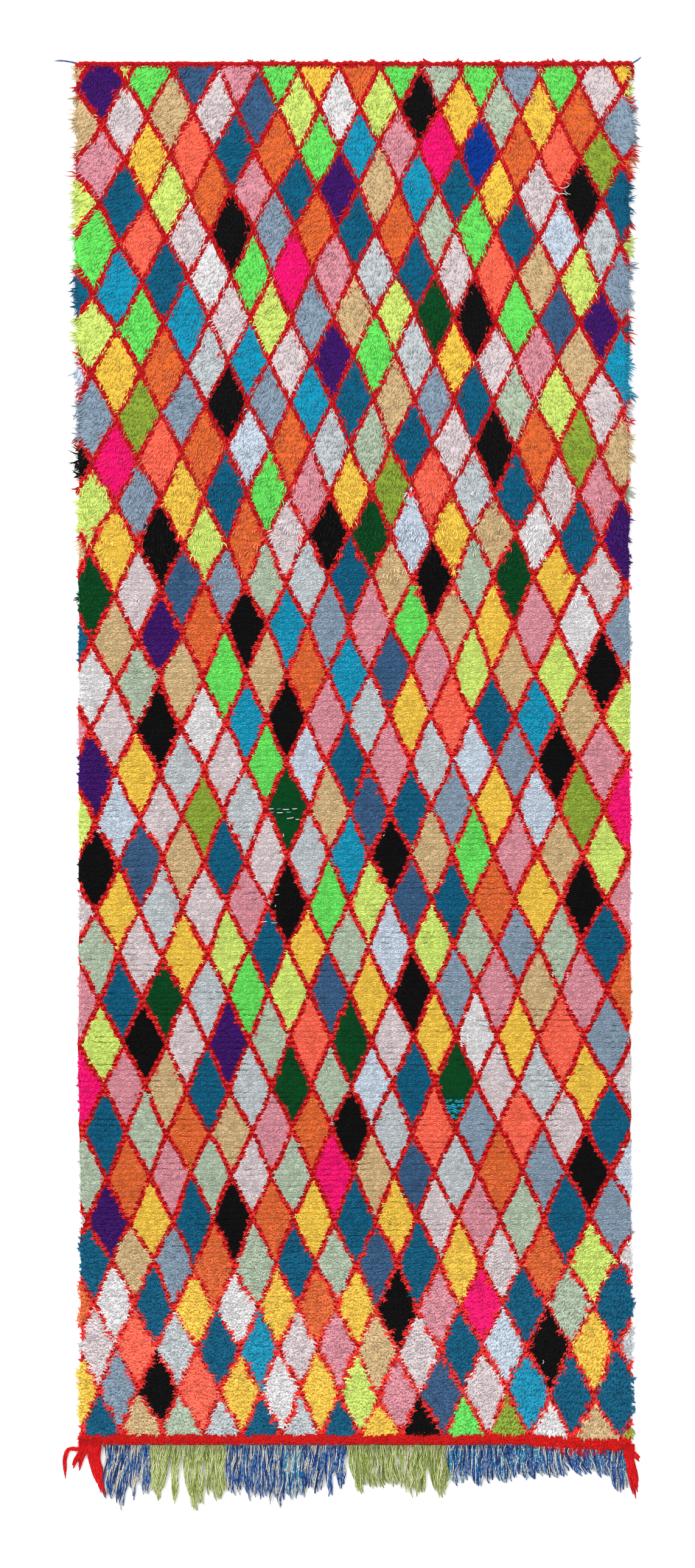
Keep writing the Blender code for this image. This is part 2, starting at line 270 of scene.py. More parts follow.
# Bunches of warps below the foot band, run by run from left to right: where their roots start and end, where
# their tips gather and how widely, how far they hang, and how late they draw together.
FRINGE_BUNCHES = {
    # run: (root left, root right, tips, tip width, drop, late)
    "fringe_blue_left": (
        (-0.454, -0.430, -0.444, 0.020, 0.100, 3.0),
        (-0.430, -0.408, -0.425, 0.015, 0.116, 3.0),
        (-0.408, -0.391, -0.402, 0.014, 0.098, 2.6),
        (-0.391, -0.373, -0.380, 0.016, 0.096, 2.6),
    ),
    "fringe_olive_left": (
        (-0.371, -0.337, -0.356, 0.021, 0.100, 1.1),
        (-0.337, -0.316, -0.327, 0.006, 0.104, 0.8),
        (-0.316, -0.276, -0.288, 0.026, 0.116, 0.9),
        (-0.276, -0.237, -0.252, 0.030, 0.100, 1.2),
    ),
    "fringe_blue_middle": (
        (-0.235, -0.210, -0.217, 0.026, 0.096, 3.0),
        (-0.210, -0.186, -0.190, 0.023, 0.103, 3.0),
        (-0.186, -0.160, -0.166, 0.026, 0.098, 3.0),
        (-0.160, -0.132, -0.141, 0.024, 0.114, 3.0),
        (-0.132, -0.104, -0.114, 0.027, 0.097, 3.0),
        (-0.104, -0.080, -0.092, 0.021, 0.093, 3.0),
        (-0.080, -0.055, -0.070, 0.020, 0.088, 2.4),
        (-0.055, -0.037, -0.046, 0.007, 0.092, 1.5),
        (-0.037, -0.017, -0.024, 0.007, 0.085, 1.5),
    ),
    "fringe_olive_right": (
        (-0.015, 0.012, 0.013, 0.026, 0.087, 3.0),
        (0.012, 0.046, 0.043, 0.034, 0.080, 3.0),
        (0.046, 0.088, 0.082, 0.042, 0.077, 3.0),
        (0.088, 0.130, 0.113, 0.034, 0.094, 3.0),
        (0.130, 0.166, 0.157, 0.020, 0.096, 2.0),
    ),
    "fringe_blue_right": (
        (0.168, 0.200, 0.188, 0.032, 0.074, 3.0),
        (0.200, 0.240, 0.228, 0.041, 0.073, 3.0),
        (0.240, 0.285, 0.273, 0.046, 0.067, 3.0),
        (0.285, 0.330, 0.319, 0.046, 0.062, 3.0),
        (0.330, 0.375, 0.365, 0.046, 0.056, 3.0),
        (0.375, 0.420, 0.413, 0.045, 0.050, 3.0),
        (0.420, 0.456, 0.453, 0.034, 0.052, 3.0),
        (0.456, 0.488, 0.482, 0.028, 0.076, 2.0),
    ),
}
STRAND_PITCH = 0.0031
STRAND_LENGTHS = (0.78, 0.86, 0.93, 0.97, 1.0, 1.03)
PATH_STEPS = 7
LAID_HEIGHT = 0.0031

# Tassels at the lower corners, and loose ends of warp at the upper ones
LEFT_TASSEL = (
    # (root, steps from the rug's left corner, across and down)
    (-0.4960, ((-0.004, -0.010), (-0.020, -0.011), (-0.027, -0.034), (-0.026, -0.062))),
    (-0.4930, ((0.001, -0.018), (-0.006, -0.030), (-0.012, -0.044))),
    (-0.4880, ((0.008, -0.020), (0.003, -0.034), (-0.001, -0.048))),
    (-0.4800, ((0.019, -0.026), (0.025, -0.052), (0.031, -0.070))),
    (-0.4750, ((0.024, -0.028), (0.031, -0.060), (0.039, -0.088))),
    (-0.4700, ((0.029, -0.030), (0.036, -0.062), (0.045, -0.096))),
    (-0.4650, ((0.033, -0.030), (0.039, -0.062), (0.048, -0.092))),
)
RIGHT_TASSEL = (
    (0.4920, ((-0.005, -0.028), (0.000, -0.056), (0.006, -0.082))),
    (0.4955, ((-0.001, -0.028), (0.005, -0.056), (0.011, -0.090))),
    (0.4990, ((0.003, -0.024), (0.009, -0.050), (0.014, -0.078))),
    (0.5035, ((0.007, -0.010), (0.012, -0.016), (0.017, -0.022))),
)
TASSEL_COPIES = 5
TASSEL_COPY_STEP = 0.0017
LEFT_LOOSE_END = ((0.012, 0.000), (0.000, 0.000), (-0.014, 0.003), (-0.031, 0.0055), (-0.047, 0.0055))
RIGHT_LOOSE_END = ((-0.014, 0.001), (0.000, 0.000), (0.007, 0.003), (0.014, 0.007), (0.021, 0.013))

# Bits of pale weft in worn places, and stray wisps that lie on the pile. A dye is a place in the blue warps'
# list of colours.
WISPS = (
    # (x, y, length, way that it lies in degrees, how far it curls, dye)
    (-0.152, -0.102, 0.010, 0, 0.1, 1),
    (-0.138, -0.102, 0.008, 3, 0.1, 3),
    (-0.125, -0.103, 0.012, -2, 0.1, 1),
    (-0.109, -0.102, 0.009, 0, 0.1, 1),
    (-0.150, -0.108, 0.009, 2, 0.1, 3),
    (-0.136, -0.109, 0.011, 0, 0.1, 1),
    (-0.120, -0.108, 0.008, -3, 0.1, 0),
    (-0.117, -0.119, 0.013, 4, 0.2, 1),
    (-0.104, -0.121, 0.007, 0, 0.1, 1),
    (-0.129, -0.150, 0.006, 60, 1.2, 1),
    (-0.141, -0.258, 0.007, 5, 0.2, 1),
    (-0.144, -0.278, 0.004, 70, 0.4, 1),
    (-0.165, -0.307, 0.012, 2, 0.2, 1),
    (-0.146, -0.309, 0.011, -3, 0.2, 2),
    (-0.069, -0.238, 0.014, 4, 0.9, 2),
    (0.053, -0.150, 0.004, 40, 0.5, 1),
    (0.344, -1.107, 0.008, 30, 2.4, 2),
    (0.381, 1.022, 0.022, -20, 1.6, 1),
    (0.377, 1.016, 0.017, 30, -1.4, 1),
    (0.384, 1.014, 0.014, -60, 1.2, 2),
    (0.339, 0.648, 0.017, 20, 1.8, 2),
    (0.331, 0.641, 0.014, 150, -1.2, 1),
    (0.317, 1.190, 0.018, -80, 0.9, 2),
    (0.322, 1.181, 0.015, -110, -1.0, 2),
)
WISP_LIFT = 0.0058
WISP_STEPS = 5

# Stage
CAMERA_PLACE = (-0.0133, -0.0569, 6.73)
FRAME_HEIGHT = 2.846
PILE_HEIGHT = 0.012
SENSOR = 36.0
FLOOR_REACH = 30
WORLD_LIGHT = 0.85
LIGHTS = (
    # (name, place, side, power)
    ("key_light", (-5.1, 5.4, 8.3), 5.4, 960.0),
    ("fill_light", (3.8, -2.6, 5.4), 4.0, 150.0),
)


def linear(colour):
    """A colour from 0 to 255 as linear red, green, blue and alpha."""
    channels = []
    for value in colour:
        share = value / 255
        channels.append(share / 12.92 if share <= 0.04045 else ((share + 0.055) / 1.055) ** 2.4)
    return (*channels, 1.0)


def smooth(value, low, high):
    """0 below low, 1 above high, and a soft rise between them."""
    share = np.clip((value - low) / (high - low), 0.0, 1.0)
    return share * share * (3 - 2 * share)


def ripple(x, y, wave, phase):
    """A smooth but uneven number from about -1 to 1 for a place. wave is its rough length in metres."""
    k = 2 * math.pi / wave
    total = np.sin(k * (0.83 * x + 0.55 * y) + phase + 1.3 * np.sin(k * 0.47 * y + 2.1 * phase))
    total = total + np.sin(k * (-0.61 * x + 0.79 * y) + 1.7 * phase + 1.1 * np.sin(k * 0.53 * x - phase))
    total = total + 0.6 * np.sin(k * 1.9 * (0.35 * x - 0.92 * y) + 3.1 * phase)
    return total / 2.0


def shagginess(y):
    """How much of the pile is long and loose: all at the head, and none from the middle on."""
    return smooth(y, SHAGGY_FROM_Y, SHAGGY_FULL_Y)


def fluffiness(y):
    """How far the trodden pile has opened up again towards the foot."""
    return smooth(-y, -FLUFFY_FROM_Y, -FLUFFY_FULL_Y)


def root_height(x, y):
    """Height that the strands start from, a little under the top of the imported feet."""
    share = ROOT_SHARE_TRODDEN + (ROOT_SHARE_SHAGGY - ROOT_SHARE_TRODDEN) * shagginess(y)
    return share * bed_height(x, y)


def bed_height(x, y):
    """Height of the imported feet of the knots, lower at the side edges."""
    height = BED_HEIGHT_TRODDEN + (BED_HEIGHT_SHAGGY - BED_HEIGHT_TRODDEN) * shagginess(y)
    rim = smooth(HALF_WIDTH - np.abs(x), -0.002, RIM_WIDTH)
    return (height + 0.0005 * ripple(x, y, 0.05, 1.0)) * (RIM_SHARE + (1 - RIM_SHARE) * rim)


def sag(x, y):
    """How far the lower right corner hangs below a straight foot."""
    return CORNER_SAG * smooth(x, 0.28, 0.48) * smooth(-y, 1.00, 1.25)


def laid_out(x, y):
    """Where a knot really lies: near the side edges the pile bulges out or draws in, and one corner sags."""
    left = 0.0015 + 0.0040 * smooth(y, 0.60, 0.85) - 0.0030 * smooth(-y, 0.55, 0.95)
    right = -0.0018 + 0.0080 * np.exp(-(((y - 1.13) / 0.05) ** 2)) + 0.0025 * smooth(-y, -0.30, 0.10)
    right = right + 0.0015 * smooth(-y, 0.60, 0.80)
    uneven = 0.0016 * ripple(x, y, 0.06, 2.9) + 0.0014 * ripple(x, y, 0.024, 0.4)
    scallops = np.abs(np.sin(math.pi * (y / FAN_WIDTH + 0.4 * np.sin(y * 31.0))))
    uneven = uneven + 0.0040 * (scallops - 0.6) * (0.3 + 0.7 * shagginess(y))
    near = smooth(np.abs(x), HALF_WIDTH - 0.045, HALF_WIDTH)
    return x + np.sign(x) * near * (np.where(x < 0, left, right) + uneven), y - sag(x, y)


# Lattice


def lattice_counts(x, y):
    """Column and row, in half diamonds, at places on the rug."""
    across = x / HALF_WIDTH
    down = -y / HALF_LENGTH
    column = MIDDLE_COLUMN + across * (COLUMNS_TO_SIDE - COLUMN_CROWDING * across**2)
    column = column - COLUMN_BOW * down**2 + COLUMN_FAN * across * down**2
    column = column - COLUMN_LEAN * across**2 * down
    row = MIDDLE_ROW + down * (ROWS_TO_END + ROW_CROWDING * down**2) - ROW_SHIFT * down**2
    row = row + ROW_SLOPE * across - ROW_TWIST * across * down**2
    row = row - ROW_SAG * across**2 + ROW_SPREAD * across**2 * down
    column = column + LATTICE_WOBBLE * ripple(x, y, 0.31, 0.7) + LATTICE_CROOK * ripple(x, y, 0.074, 2.6)
    row = row + LATTICE_WOBBLE * ripple(x, y, 0.27, 4.2) + LATTICE_CROOK * ripple(x, y, 0.083, 5.1)
    return column, row


def falling_and_rising(x, y):
    """How many of the lattice's falling and rising lines lie before a place."""
    column, row = lattice_counts(x, y)
    return (row + column) / 2, (row - column) / 2


def place_of_counts(falling, rising):
    """The place on the rug that has the given counts of lines, found by steps from a first guess."""
    column, row = falling - rising, falling + rising
    x = HALF_WIDTH * (column - MIDDLE_COLUMN) / COLUMNS_TO_SIDE
    y = -HALF_LENGTH * (row - MIDDLE_ROW) / ROWS_TO_END
    step = 1e-4
    for _ in range(25):
        here = np.array(lattice_counts(x, y))
        by_x = (np.array(lattice_counts(x + step, y)) - here) / step
        by_y = (np.array(lattice_counts(x, y + step)) - here) / step
        miss = np.array([column, row]) - here
        area = by_x[0] * by_y[1] - by_x[1] * by_y[0]
        x = x + 0.8 * np.clip((miss[0] * by_y[1] - miss[1] * by_y[0]) / area, -0.05, 0.05)
        y = y + 0.8 * np.clip((miss[1] * by_x[0] - miss[0] * by_x[1]) / area, -0.05, 0.05)
    return x, y


def diamond_at(falling, rising):
    """Column and row of the diamond that holds a place."""
    a = math.floor(falling) + 0.5
    b = math.floor(rising) + 0.5
    return round(a - b), round(a + b)


def deal_yarns(diamonds, rng):
    """A yarn for each diamond: the rare ones where they were set, and the rest dealt so that no two
    that share a side are alike."""
    dealt = {place: yarn for yarn, places in RARE_DIAMONDS.items() for place in places}
    for x, y, yarn in EDGE_DIAMONDS:
        dealt[diamond_at(*falling_and_rising(x, y))] = yarn
    dealt[WORN_DIAMOND] = "dark_green"
    dealt[TWO_TONE_DIAMOND] = "dark_green"
    left = sorted((d for d in diamonds if d not in dealt), key=lambda d: (d[1], d[0]))
    total = sum(share for _, share in YARNS.values())
    basket = []
    for yarn, (_, share) in YARNS.items():
        basket += [yarn] * math.ceil(share / total * (len(left) + 12))
    rng.shuffle(basket)
    for column, row in left:
        near = [(column - 1, row - 1), (column + 1, row - 1), (column - 1, row + 1), (column + 1, row + 1)]
        near += [(column - 2, row), (column, row - 2)]
        taken = {dealt.get(place) for place in near}
        pick = next((k for k, yarn in enumerate(basket) if yarn not in taken), 0)
        dealt[(column, row)] = basket.pop(pick)
    return dealt


# Materials


def new_material(name):
    """A new material, its tree and its shader."""
    material = bpy.data.materials.new(name)
    material.use_nodes = True
    tree = material.node_tree
    return material, tree, tree.nodes["Principled BSDF"]


def set_inputs(shader, values):
    """Sets numbers and colours on a shader's own sockets."""
    for name, value in values.items():
        shader.inputs[name].default_value = value


def add_node(tree, kind, inputs=(), **settings):
    """A node of a kind, with its settings and with values or links for its inputs."""
    node = tree.nodes.new(kind)
    for key, value in settings.items():
        setattr(node, key, value)
    for key, value in dict(inputs).items():
        if isinstance(value, bpy.types.NodeSocket):
            tree.links.new(value, node.inputs[key])
        else:
            node.inputs[key].default_value = value
    return node


def arithmetic(tree, operation, first, second):
    """The output of a sum, product or the like of two numbers."""
    return add_node(tree, "ShaderNodeMath", {0: first, 1: second}, operation=operation).outputs[0]


def multiplied(tree, *numbers):
    """The product of several numbers."""
    product = numbers[0]
    for number in numbers[1:]:
        product = arithmetic(tree, "MULTIPLY", product, number)
    return product


def vector(tree, operation, first, second):
    """The output of a sum or the like of two vectors, or of a vector and the number that scales it."""
    key = "Scale" if operation == "SCALE" else 1
    node = add_node(tree, "ShaderNodeVectorMath", {0: first, key: second}, operation=operation)
    return node.outputs["Vector"]


def mapped(tree, value, low, high, new_low, new_high, soft=True):
    """A number carried from one range to another."""
    kind = "SMOOTHSTEP" if soft else "LINEAR"
    inputs = {"Value": value, "From Min": low, "From Max": high, "To Min": new_low, "To Max": new_high}
    return add_node(tree, "ShaderNodeMapRange", inputs, interpolation_type=kind).outputs["Result"]


def mixed(tree, share, first, second):
    """A colour between two."""
    return add_node(tree, "ShaderNodeMix", {0: share, 6: first, 7: second}, data_type="RGBA").outputs[2]


def noise(tree, place, scale, detail, roughness=0.5, output="Fac", space="3D"):
    """Uneven numbers or colours at a place."""
    inputs = {"Vector": place, "Scale": scale, "Detail": detail, "Roughness": roughness}
    return add_node(tree, "ShaderNodeTexNoise", inputs, noise_dimensions=space).outputs[output]


def long_noise(tree, place, stretch, detail, roughness, scale=1.0, space="3D"):
    """Uneven numbers that are drawn out along some axes."""
    drawn = add_node(tree, "ShaderNodeMapping", {"Vector": place, "Scale": stretch})
    return noise(tree, drawn.outputs["Vector"], scale, detail, roughness, space=space)


def yarn_map(tree):
    """A yarn's own map, and its two directions."""
    place = add_node(tree, "ShaderNodeUVMap", uv_map=BAKE_MAP).outputs["UV"]
    parts = add_node(tree, "ShaderNodeSeparateXYZ", {"Vector": place})
    return place, parts.outputs["X"], parts.outputs["Y"]


def finish_wool(tree, shader, colour, light, relief, strength, depth, hue=0.5, saturation=1.0):
    """Ends a wool's tree with its lit colour, the relief of its fibres, and a soft, unshiny surface."""
    inputs = {"Hue": hue, "Saturation": saturation, "Value": light, "Color": colour}
    tint = add_node(tree, "ShaderNodeHueSaturation", inputs)
    tree.links.new(tint.outputs["Color"], shader.inputs["Base Color"])
    bump = add_node(tree, "ShaderNodeBump", {"Strength": strength, "Distance": depth, "Height": relief})
    tree.links.new(bump.outputs["Normal"], shader.inputs["Normal"])
    set_inputs(shader, WOOL_FINISH)


def yarn_material(name, colour, other=None, root=ROOT_LIGHT, spread=SHADE_SPREAD):
    """Wool yarn with painted shade towards its root, where the pile shades it. The map's first direction is the
    shade of a strand and the second runs from root to tip. other is the colour that the lighter shades
    drift to."""
    material, tree, shader = new_material(name)
    place, shade, along = yarn_map(tree)
    fibres = long_noise(tree, place, (90.0, 7.0, 1.0), 3.0, 0.6, space="2D")
    base = mixed(tree, shade, linear(colour), linear(other or colour))
    # Painted shade towards the strand's root.
    root_shade = mapped(tree, along, 0.05, 0.50, root, 1.0)
    by_shade = mapped(tree, shade, 0.0, 1.0, 1 - spread, 1 + spread * 0.7, False)
    light = multiplied(tree, root_shade, by_shade, mapped(tree, fibres, 0.3, 0.7, 0.93, 1.06))
    hue = mapped(tree, fibres, 0.2, 0.8, 0.5 - HUE_DRIFT, 0.5 + HUE_DRIFT, False)
    finish_wool(tree, shader, base, light, fibres, 0.15, 0.0006, hue)
    return material


def line_share(tree, place, counts):
    """Where the lattice's lines lie on the ground, with ragged sides."""
    ragged = vector(tree, "SCALE", noise(tree, place, 170.0, 2.0, output="Color"), 0.10)
    moved = vector(tree, "SUBTRACT", vector(tree, "ADD", counts, ragged), (0.05, 0.05, 0.05))
    lines = add_node(tree, "ShaderNodeSeparateXYZ", {"Vector": moved})
    near = []
    for axis in ("X", "Y"):
        away = arithmetic(tree, "PINGPONG", lines.outputs[axis], 0.5)
        near.append(arithmetic(tree, "LESS_THAN", away, LINE_HALF_WIDTH))
    return arithmetic(tree, "MAXIMUM", *near)


def rib_crack_shade(tree, place, spot_y):
    """Painted shade in the cracks between the ribs, in patches, most of them in the lower half."""
    rows = multiplied(tree, arithmetic(tree, "SUBTRACT", FIELD_HEAD_Y, spot_y), 2 * math.pi / ROW_STEP)
    wander = mapped(tree, noise(tree, place, 60.0, 1.0), 0.3, 0.7, -1.1, 1.1, False)
    ribs = arithmetic(tree, "COSINE", arithmetic(tree, "ADD", rows, wander), 0.0)
    away = arithmetic(tree, "ABSOLUTE", arithmetic(tree, "SUBTRACT", spot_y, CRACKED_MIDDLE_Y), 0.0)
    depth = mapped(tree, away, 0.0, 2.0 * CRACKED_REACH, 0.62, 0.15)
    depth = multiplied(tree, depth, mapped(tree, noise(tree, place, 26.0, 2.0), 0.50, 0.66, 0.0, 1.0))
    return multiplied(tree, mapped(tree, ribs, 0.55, 0.98, 0.0, 1.0), depth)


def ground_material():
    """The ground weave with the foot of each knot on it: the diamond's colour, a darker red along the lattice's
    lines, and ribs where the wefts run. The cracks between the ribs get painted shade, and all of the ground
    is darker under the trodden pile than under the shaggy pile, as painted shade."""
    material, tree, shader = new_material("ground_wool")
    place = add_node(tree, "ShaderNodeTexCoord").outputs["Object"]
    yarn = add_node(tree, "ShaderNodeAttribute", attribute_name="knot_colour").outputs["Color"]
    counts = add_node(tree, "ShaderNodeAttribute", attribute_name="line_counts").outputs["Vector"]
    # The ground under the lines takes a darker red, as painted shade.
    colour = mixed(tree, line_share(tree, place, counts), yarn, linear(LINE_GROUND_RED_IN_PAINTED_SHADE))
    spot_y = add_node(tree, "ShaderNodeSeparateXYZ", {"Vector": place}).outputs["Y"]
    crack = rib_crack_shade(tree, place, spot_y)
    tangle = long_noise(tree, place, (620.0, 300.0, 300.0), 3.0, 0.65)
    light = mapped(tree, tangle, 0.36, 0.56, 0.68, 1.0)
    # Painted shade on the ground, which shows only in the gaps: darker under the trodden pile than the shaggy.
    trodden = mapped(tree, spot_y, SHAGGY_FROM_Y, SHAGGY_FULL_Y, TRODDEN_BED_LIGHT, SHAGGY_BED_LIGHT)
    light = multiplied(tree, light, arithmetic(tree, "SUBTRACT", 1.0, crack), trodden)
    relief = arithmetic(tree, "SUBTRACT", tangle, crack)
    finish_wool(tree, shader, colour, light, relief, 0.8, 0.0010, saturation=1.05)
    return material


def band_material():
    """Red wool of the head and the foot band, on object coordinates."""
    material, tree, shader = new_material("wool_band")
    place = add_node(tree, "ShaderNodeTexCoord").outputs["Object"]
    strands = long_noise(tree, place, (1.0, 0.35, 0.6), 3.0, 0.6, scale=700.0)
    light = mapped(tree, strands, 0.35, 0.65, 0.40, 0.78)
    finish_wool(tree, shader, linear(BAND_COLOUR), light, strands, 0.8, 0.0008)
    return material


def marl_material(name, colours):
    """Twisted yarn whose plies differ in colour. The map's first direction picks the ply's colour from the
    list, which gives way to the next one for short lengths, and the second runs along the yarn."""
    material, tree, shader = new_material(name)
    place, dye, along = yarn_map(tree)
    lengths = long_noise(tree, place, (23.0, 15.0, 1.0), 1.0, 0.5, space="2D")
    changed = multiplied(tree, arithmetic(tree, "GREATER_THAN", lengths, MARL_CHANGE), 1 / len(colours))
    ramp = add_node(tree, "ShaderNodeValToRGB", {"Fac": arithmetic(tree, "ADD", dye, changed)})
    ramp.color_ramp.interpolation = "CONSTANT"
    stops = ramp.color_ramp.elements
    while len(stops) < len(colours):
        stops.new(0.5)
    for k, colour in enumerate(colours):
        stops[k].position = k / len(colours)
        stops[k].color = linear(colour)
    fibres = long_noise(tree, place, (70.0, 26.0, 1.0), 3.0, 0.6, space="2D")
    # Painted shade towards each yarn's root.
    root_shade = mapped(tree, along, 0.0, 0.25, 0.7, 1.0)
    light = multiplied(tree, mapped(tree, fibres, 0.3, 0.7, 0.74, 1.14), root_shade)
    finish_wool(tree, shader, ramp.outputs["Color"], light, fibres, 0.4, 0.0005)
    return material


def floor_material():
    """A plain, pale, matt floor."""
    material, _, shader = new_material("pale_floor")
    set_inputs(shader, FLOOR_FINISH)
    return material


# Meshes


def mesh_object(name, points, faces, edges=()):
    """An object with its own mesh, in the scene."""
    mesh = bpy.data.meshes.new(name)
    mesh.from_pydata(points, list(edges), faces)
    mesh.update()
    obj = bpy.data.objects.new(name, mesh)
    bpy.context.scene.collection.objects.link(obj)
    return obj


def fill_attribute(mesh, name, kind, domain, values):
    """Stores one value for each point, face or corner of a mesh."""
    field = {"FLOAT": "value", "INT": "value", "FLOAT_VECTOR": "vector", "FLOAT_COLOR": "color"}[kind]
    attribute = mesh.attributes.new(name, kind, domain)
    attribute.data.foreach_set(field, np.asarray(values, np.int32 if kind == "INT" else np.float32).ravel())


def ring_points(path, k, radius, turn):
    """Three points round a path's point k, square to the path there, with one of them nearly on top."""
    ahead = np.array(path[min(k + 1, len(path) - 1)]) - np.array(path[max(k - 1, 0)])
    ahead = ahead / np.linalg.norm(ahead)
    side = np.cross(ahead, (0.0, 0.0, 1.0))
    side = side / max(np.linalg.norm(side), 1e-6)
    up = np.cross(side, ahead)
    points = []
    for corner in range(3):
        angle = math.pi / 2 + turn + 2 * math.pi * corner / 3
        points.append(tuple(np.array(path[k]) + radius * (math.cos(angle) * side + math.sin(angle) * up)))
    return points


def add_spike(points, faces, uvs, path, radii, ring_turn, shade, start=0.0):
    """A strand of three sides along a path, with a pointed tip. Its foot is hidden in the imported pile. uvs
    holds a pair for each point: its shade and its place from root to tip, which counts from start."""
    first = len(points)
    rings = len(path) - 1
    for k in range(rings):
        points += ring_points(path, k, radii[k], ring_turn)
        uvs += [(shade + 0.012 * side, start + (1 - start) * k / rings) for side in range(3)]
    points.append(path[-1])
    uvs.append((shade + 0.012, 1.0))
    for k in range(rings - 1):
        low, high = first + 3 * k, first + 3 * (k + 1)
        for side in range(3):
            other = (side + 1) % 3
            faces.append((low + side, high + side, high + other, low + other))
    low, tip = first + 3 * (rings - 1), first + 3 * rings
    for side in range(3):
        faces.append((low + side, tip, low + (side + 1) % 3))


# Tufts


def tuft_object(name, collection, strands):
    """One tuft of a few strands: (path, radii, turn, shade, and where its map starts). It leans along +X and
    stands on z = 0."""
    points, faces, uvs = [], [], []
    for strand in strands:
        add_spike(points, faces, uvs, *strand)
    mesh = bpy.data.meshes.new(name)
    mesh.from_pydata(points, [], faces)
    layer = mesh.uv_layers.new(name=BAKE_MAP)
    for loop in mesh.loops:
        layer.data[loop.index].uv = uvs[loop.vertex_index]
    mesh.shade_smooth()
    obj = bpy.data.objects.new(name, mesh)
    collection.objects.link(obj)
    return obj


def shaggy_strands(rng):
    """Two curled strands along the nap over two straight ones that lie to the sides. The curled ones on top get
    painted light and the lower straight ones painted shade.
    """
    strands = []
    for side in (-1, 1):
        root = (rng.uniform(-0.007, -0.001), side * rng.uniform(0.0004, 0.0018), 0.0)
        reach = rng.uniform(0.0110, 0.0165)
        swing = side * rng.uniform(-0.0036, 0.0048)
        top = rng.uniform(0.0036, 0.0052)
        bend = (root[0] + reach * rng.uniform(0.40, 0.58), root[1] + swing * rng.uniform(-0.2, 1.5), top)
        tip = (root[0] + reach, root[1] + swing, top * rng.uniform(0.55, 0.85))
        # The curled strands on top get painted light.
        turn, shade = rng.uniform(-0.4, 0.4), rng.uniform(-0.04, 0.10)
        strands.append(((root, bend, tip), (0.0016, 0.0014), turn, shade, 0.28))
    for side in (-1, 1):
        root = (rng.uniform(-0.004, 0.003), side * 0.0010, 0.0)
        along, out = rng.uniform(0.002, 0.009), side * rng.uniform(0.0038, 0.0074)
        tip = (root[0] + along, out, rng.uniform(0.0028, 0.0044))
        # The lower straight strands get painted shade.
        strands.append(((root, tip), (0.0024,), rng.uniform(-0.4, 0.4), rng.uniform(-0.10, 0.04), 0.24))
    return strands


def trodden_strands(rng):
    """Short strands that lie over to both sides of the knot and along the nap."""
    strands = []
    for low, high, near, far in ((-0.0034, -0.0012, 0.0040, 0.0068), (0.0012, 0.0034, 0.0032, 0.0062)):
        for side in (-1, 1):
            root = (rng.uniform(low, high), side * 0.0004, 0.0)
            out = side * rng.uniform(near, far)
            tip = (root[0] + rng.uniform(-0.0004, 0.0036), out, rng.uniform(0.0024, 0.0048))
            strands.append(trodden_strand(rng, root, tip))
    root = (rng.uniform(-0.0020, 0.0010), rng.uniform(-0.0010, 0.0010), 0.0)
    tip = (root[0] + rng.uniform(0.0034, 0.0066), rng.uniform(-0.0020, 0.0020), rng.uniform(0.0034, 0.0052))
    strands.append(trodden_strand(rng, root, tip))
    return strands


def trodden_strand(rng, root, tip):
    """One short strand: its path, radius, turn, shade, and where its map starts."""
    return (root, tip), (rng.uniform(0.0019, 0.0025),), rng.uniform(-0.5, 0.5), rng.uniform(-0.08, 0.08), 0.20


def nub_strands(rng):
    """What is left of a worn knot."""
    tip = (rng.uniform(0.001, 0.003), rng.uniform(-0.001, 0.001), rng.uniform(0.0030, 0.0046))
    return [(((-0.001, 0.0, 0.0), tip), (0.0026,), rng.uniform(0, 2), 0.0)]


def tuft_shapes():
    """A collection of tufts, kind by kind, in the order of their names."""
    collection = bpy.data.collections.new("tuft_shapes")
    rng = random.Random(SEED)
    kinds = (("shaggy", shaggy_strands), ("trodden", trodden_strands), ("nub", nub_strands))
    for kind, (word, strands_of) in enumerate(kinds):
        for k in range(SHAPES_OF_A_KIND):
            tuft_object(f"tuft_{kind}_{k:02d}_{word}", collection, strands_of(rng))
    return collection


# Node trees that repeat tufts and follow yarns


def new_geometry_tree(name, inputs):
    """A tree with a geometry in and out, and named inputs of (name, kind, value)."""
    tree = bpy.data.node_groups.new(name, "GeometryNodeTree")
    tree.interface.new_socket("Geometry", in_out="INPUT", socket_type="NodeSocketGeometry")
    tree.interface.new_socket("Geometry", in_out="OUTPUT", socket_type="NodeSocketGeometry")
    for label, kind, value in inputs:
        socket = tree.interface.new_socket(label, in_out="INPUT", socket_type=kind)
        if value is not None:
            socket.default_value = value
    return tree, tree.nodes.new("NodeGroupInput"), tree.nodes.new("NodeGroupOutput")


def read_attribute(tree, name, kind):
    """The output of a named attribute."""
    node = add_node(tree, "GeometryNodeInputNamedAttribute", {"Name": name}, data_type=kind)
    return node.outputs["Attribute"]


def stored(tree, geometry, name, value, kind="FLOAT", domain="POINT"):
    """A geometry with a value stored under a name."""
    inputs = {"Geometry": geometry, "Name": name, "Value": value}
    node = add_node(tree, "GeometryNodeStoreNamedAttribute", inputs, data_type=kind, domain=domain)
    return node.outputs["Geometry"]


def finish_tree(tree, geometry, group_in, group_out):
    """Ends a tree with realized instances and the yarn's material."""
    real = add_node(tree, "GeometryNodeRealizeInstances", {"Geometry": geometry}).outputs["Geometry"]
    inputs = {"Geometry": real, "Material": group_in.outputs["Yarn"]}
    painted = add_node(tree, "GeometryNodeSetMaterial", inputs)
    tree.links.new(painted.outputs["Geometry"], group_out.inputs["Geometry"])


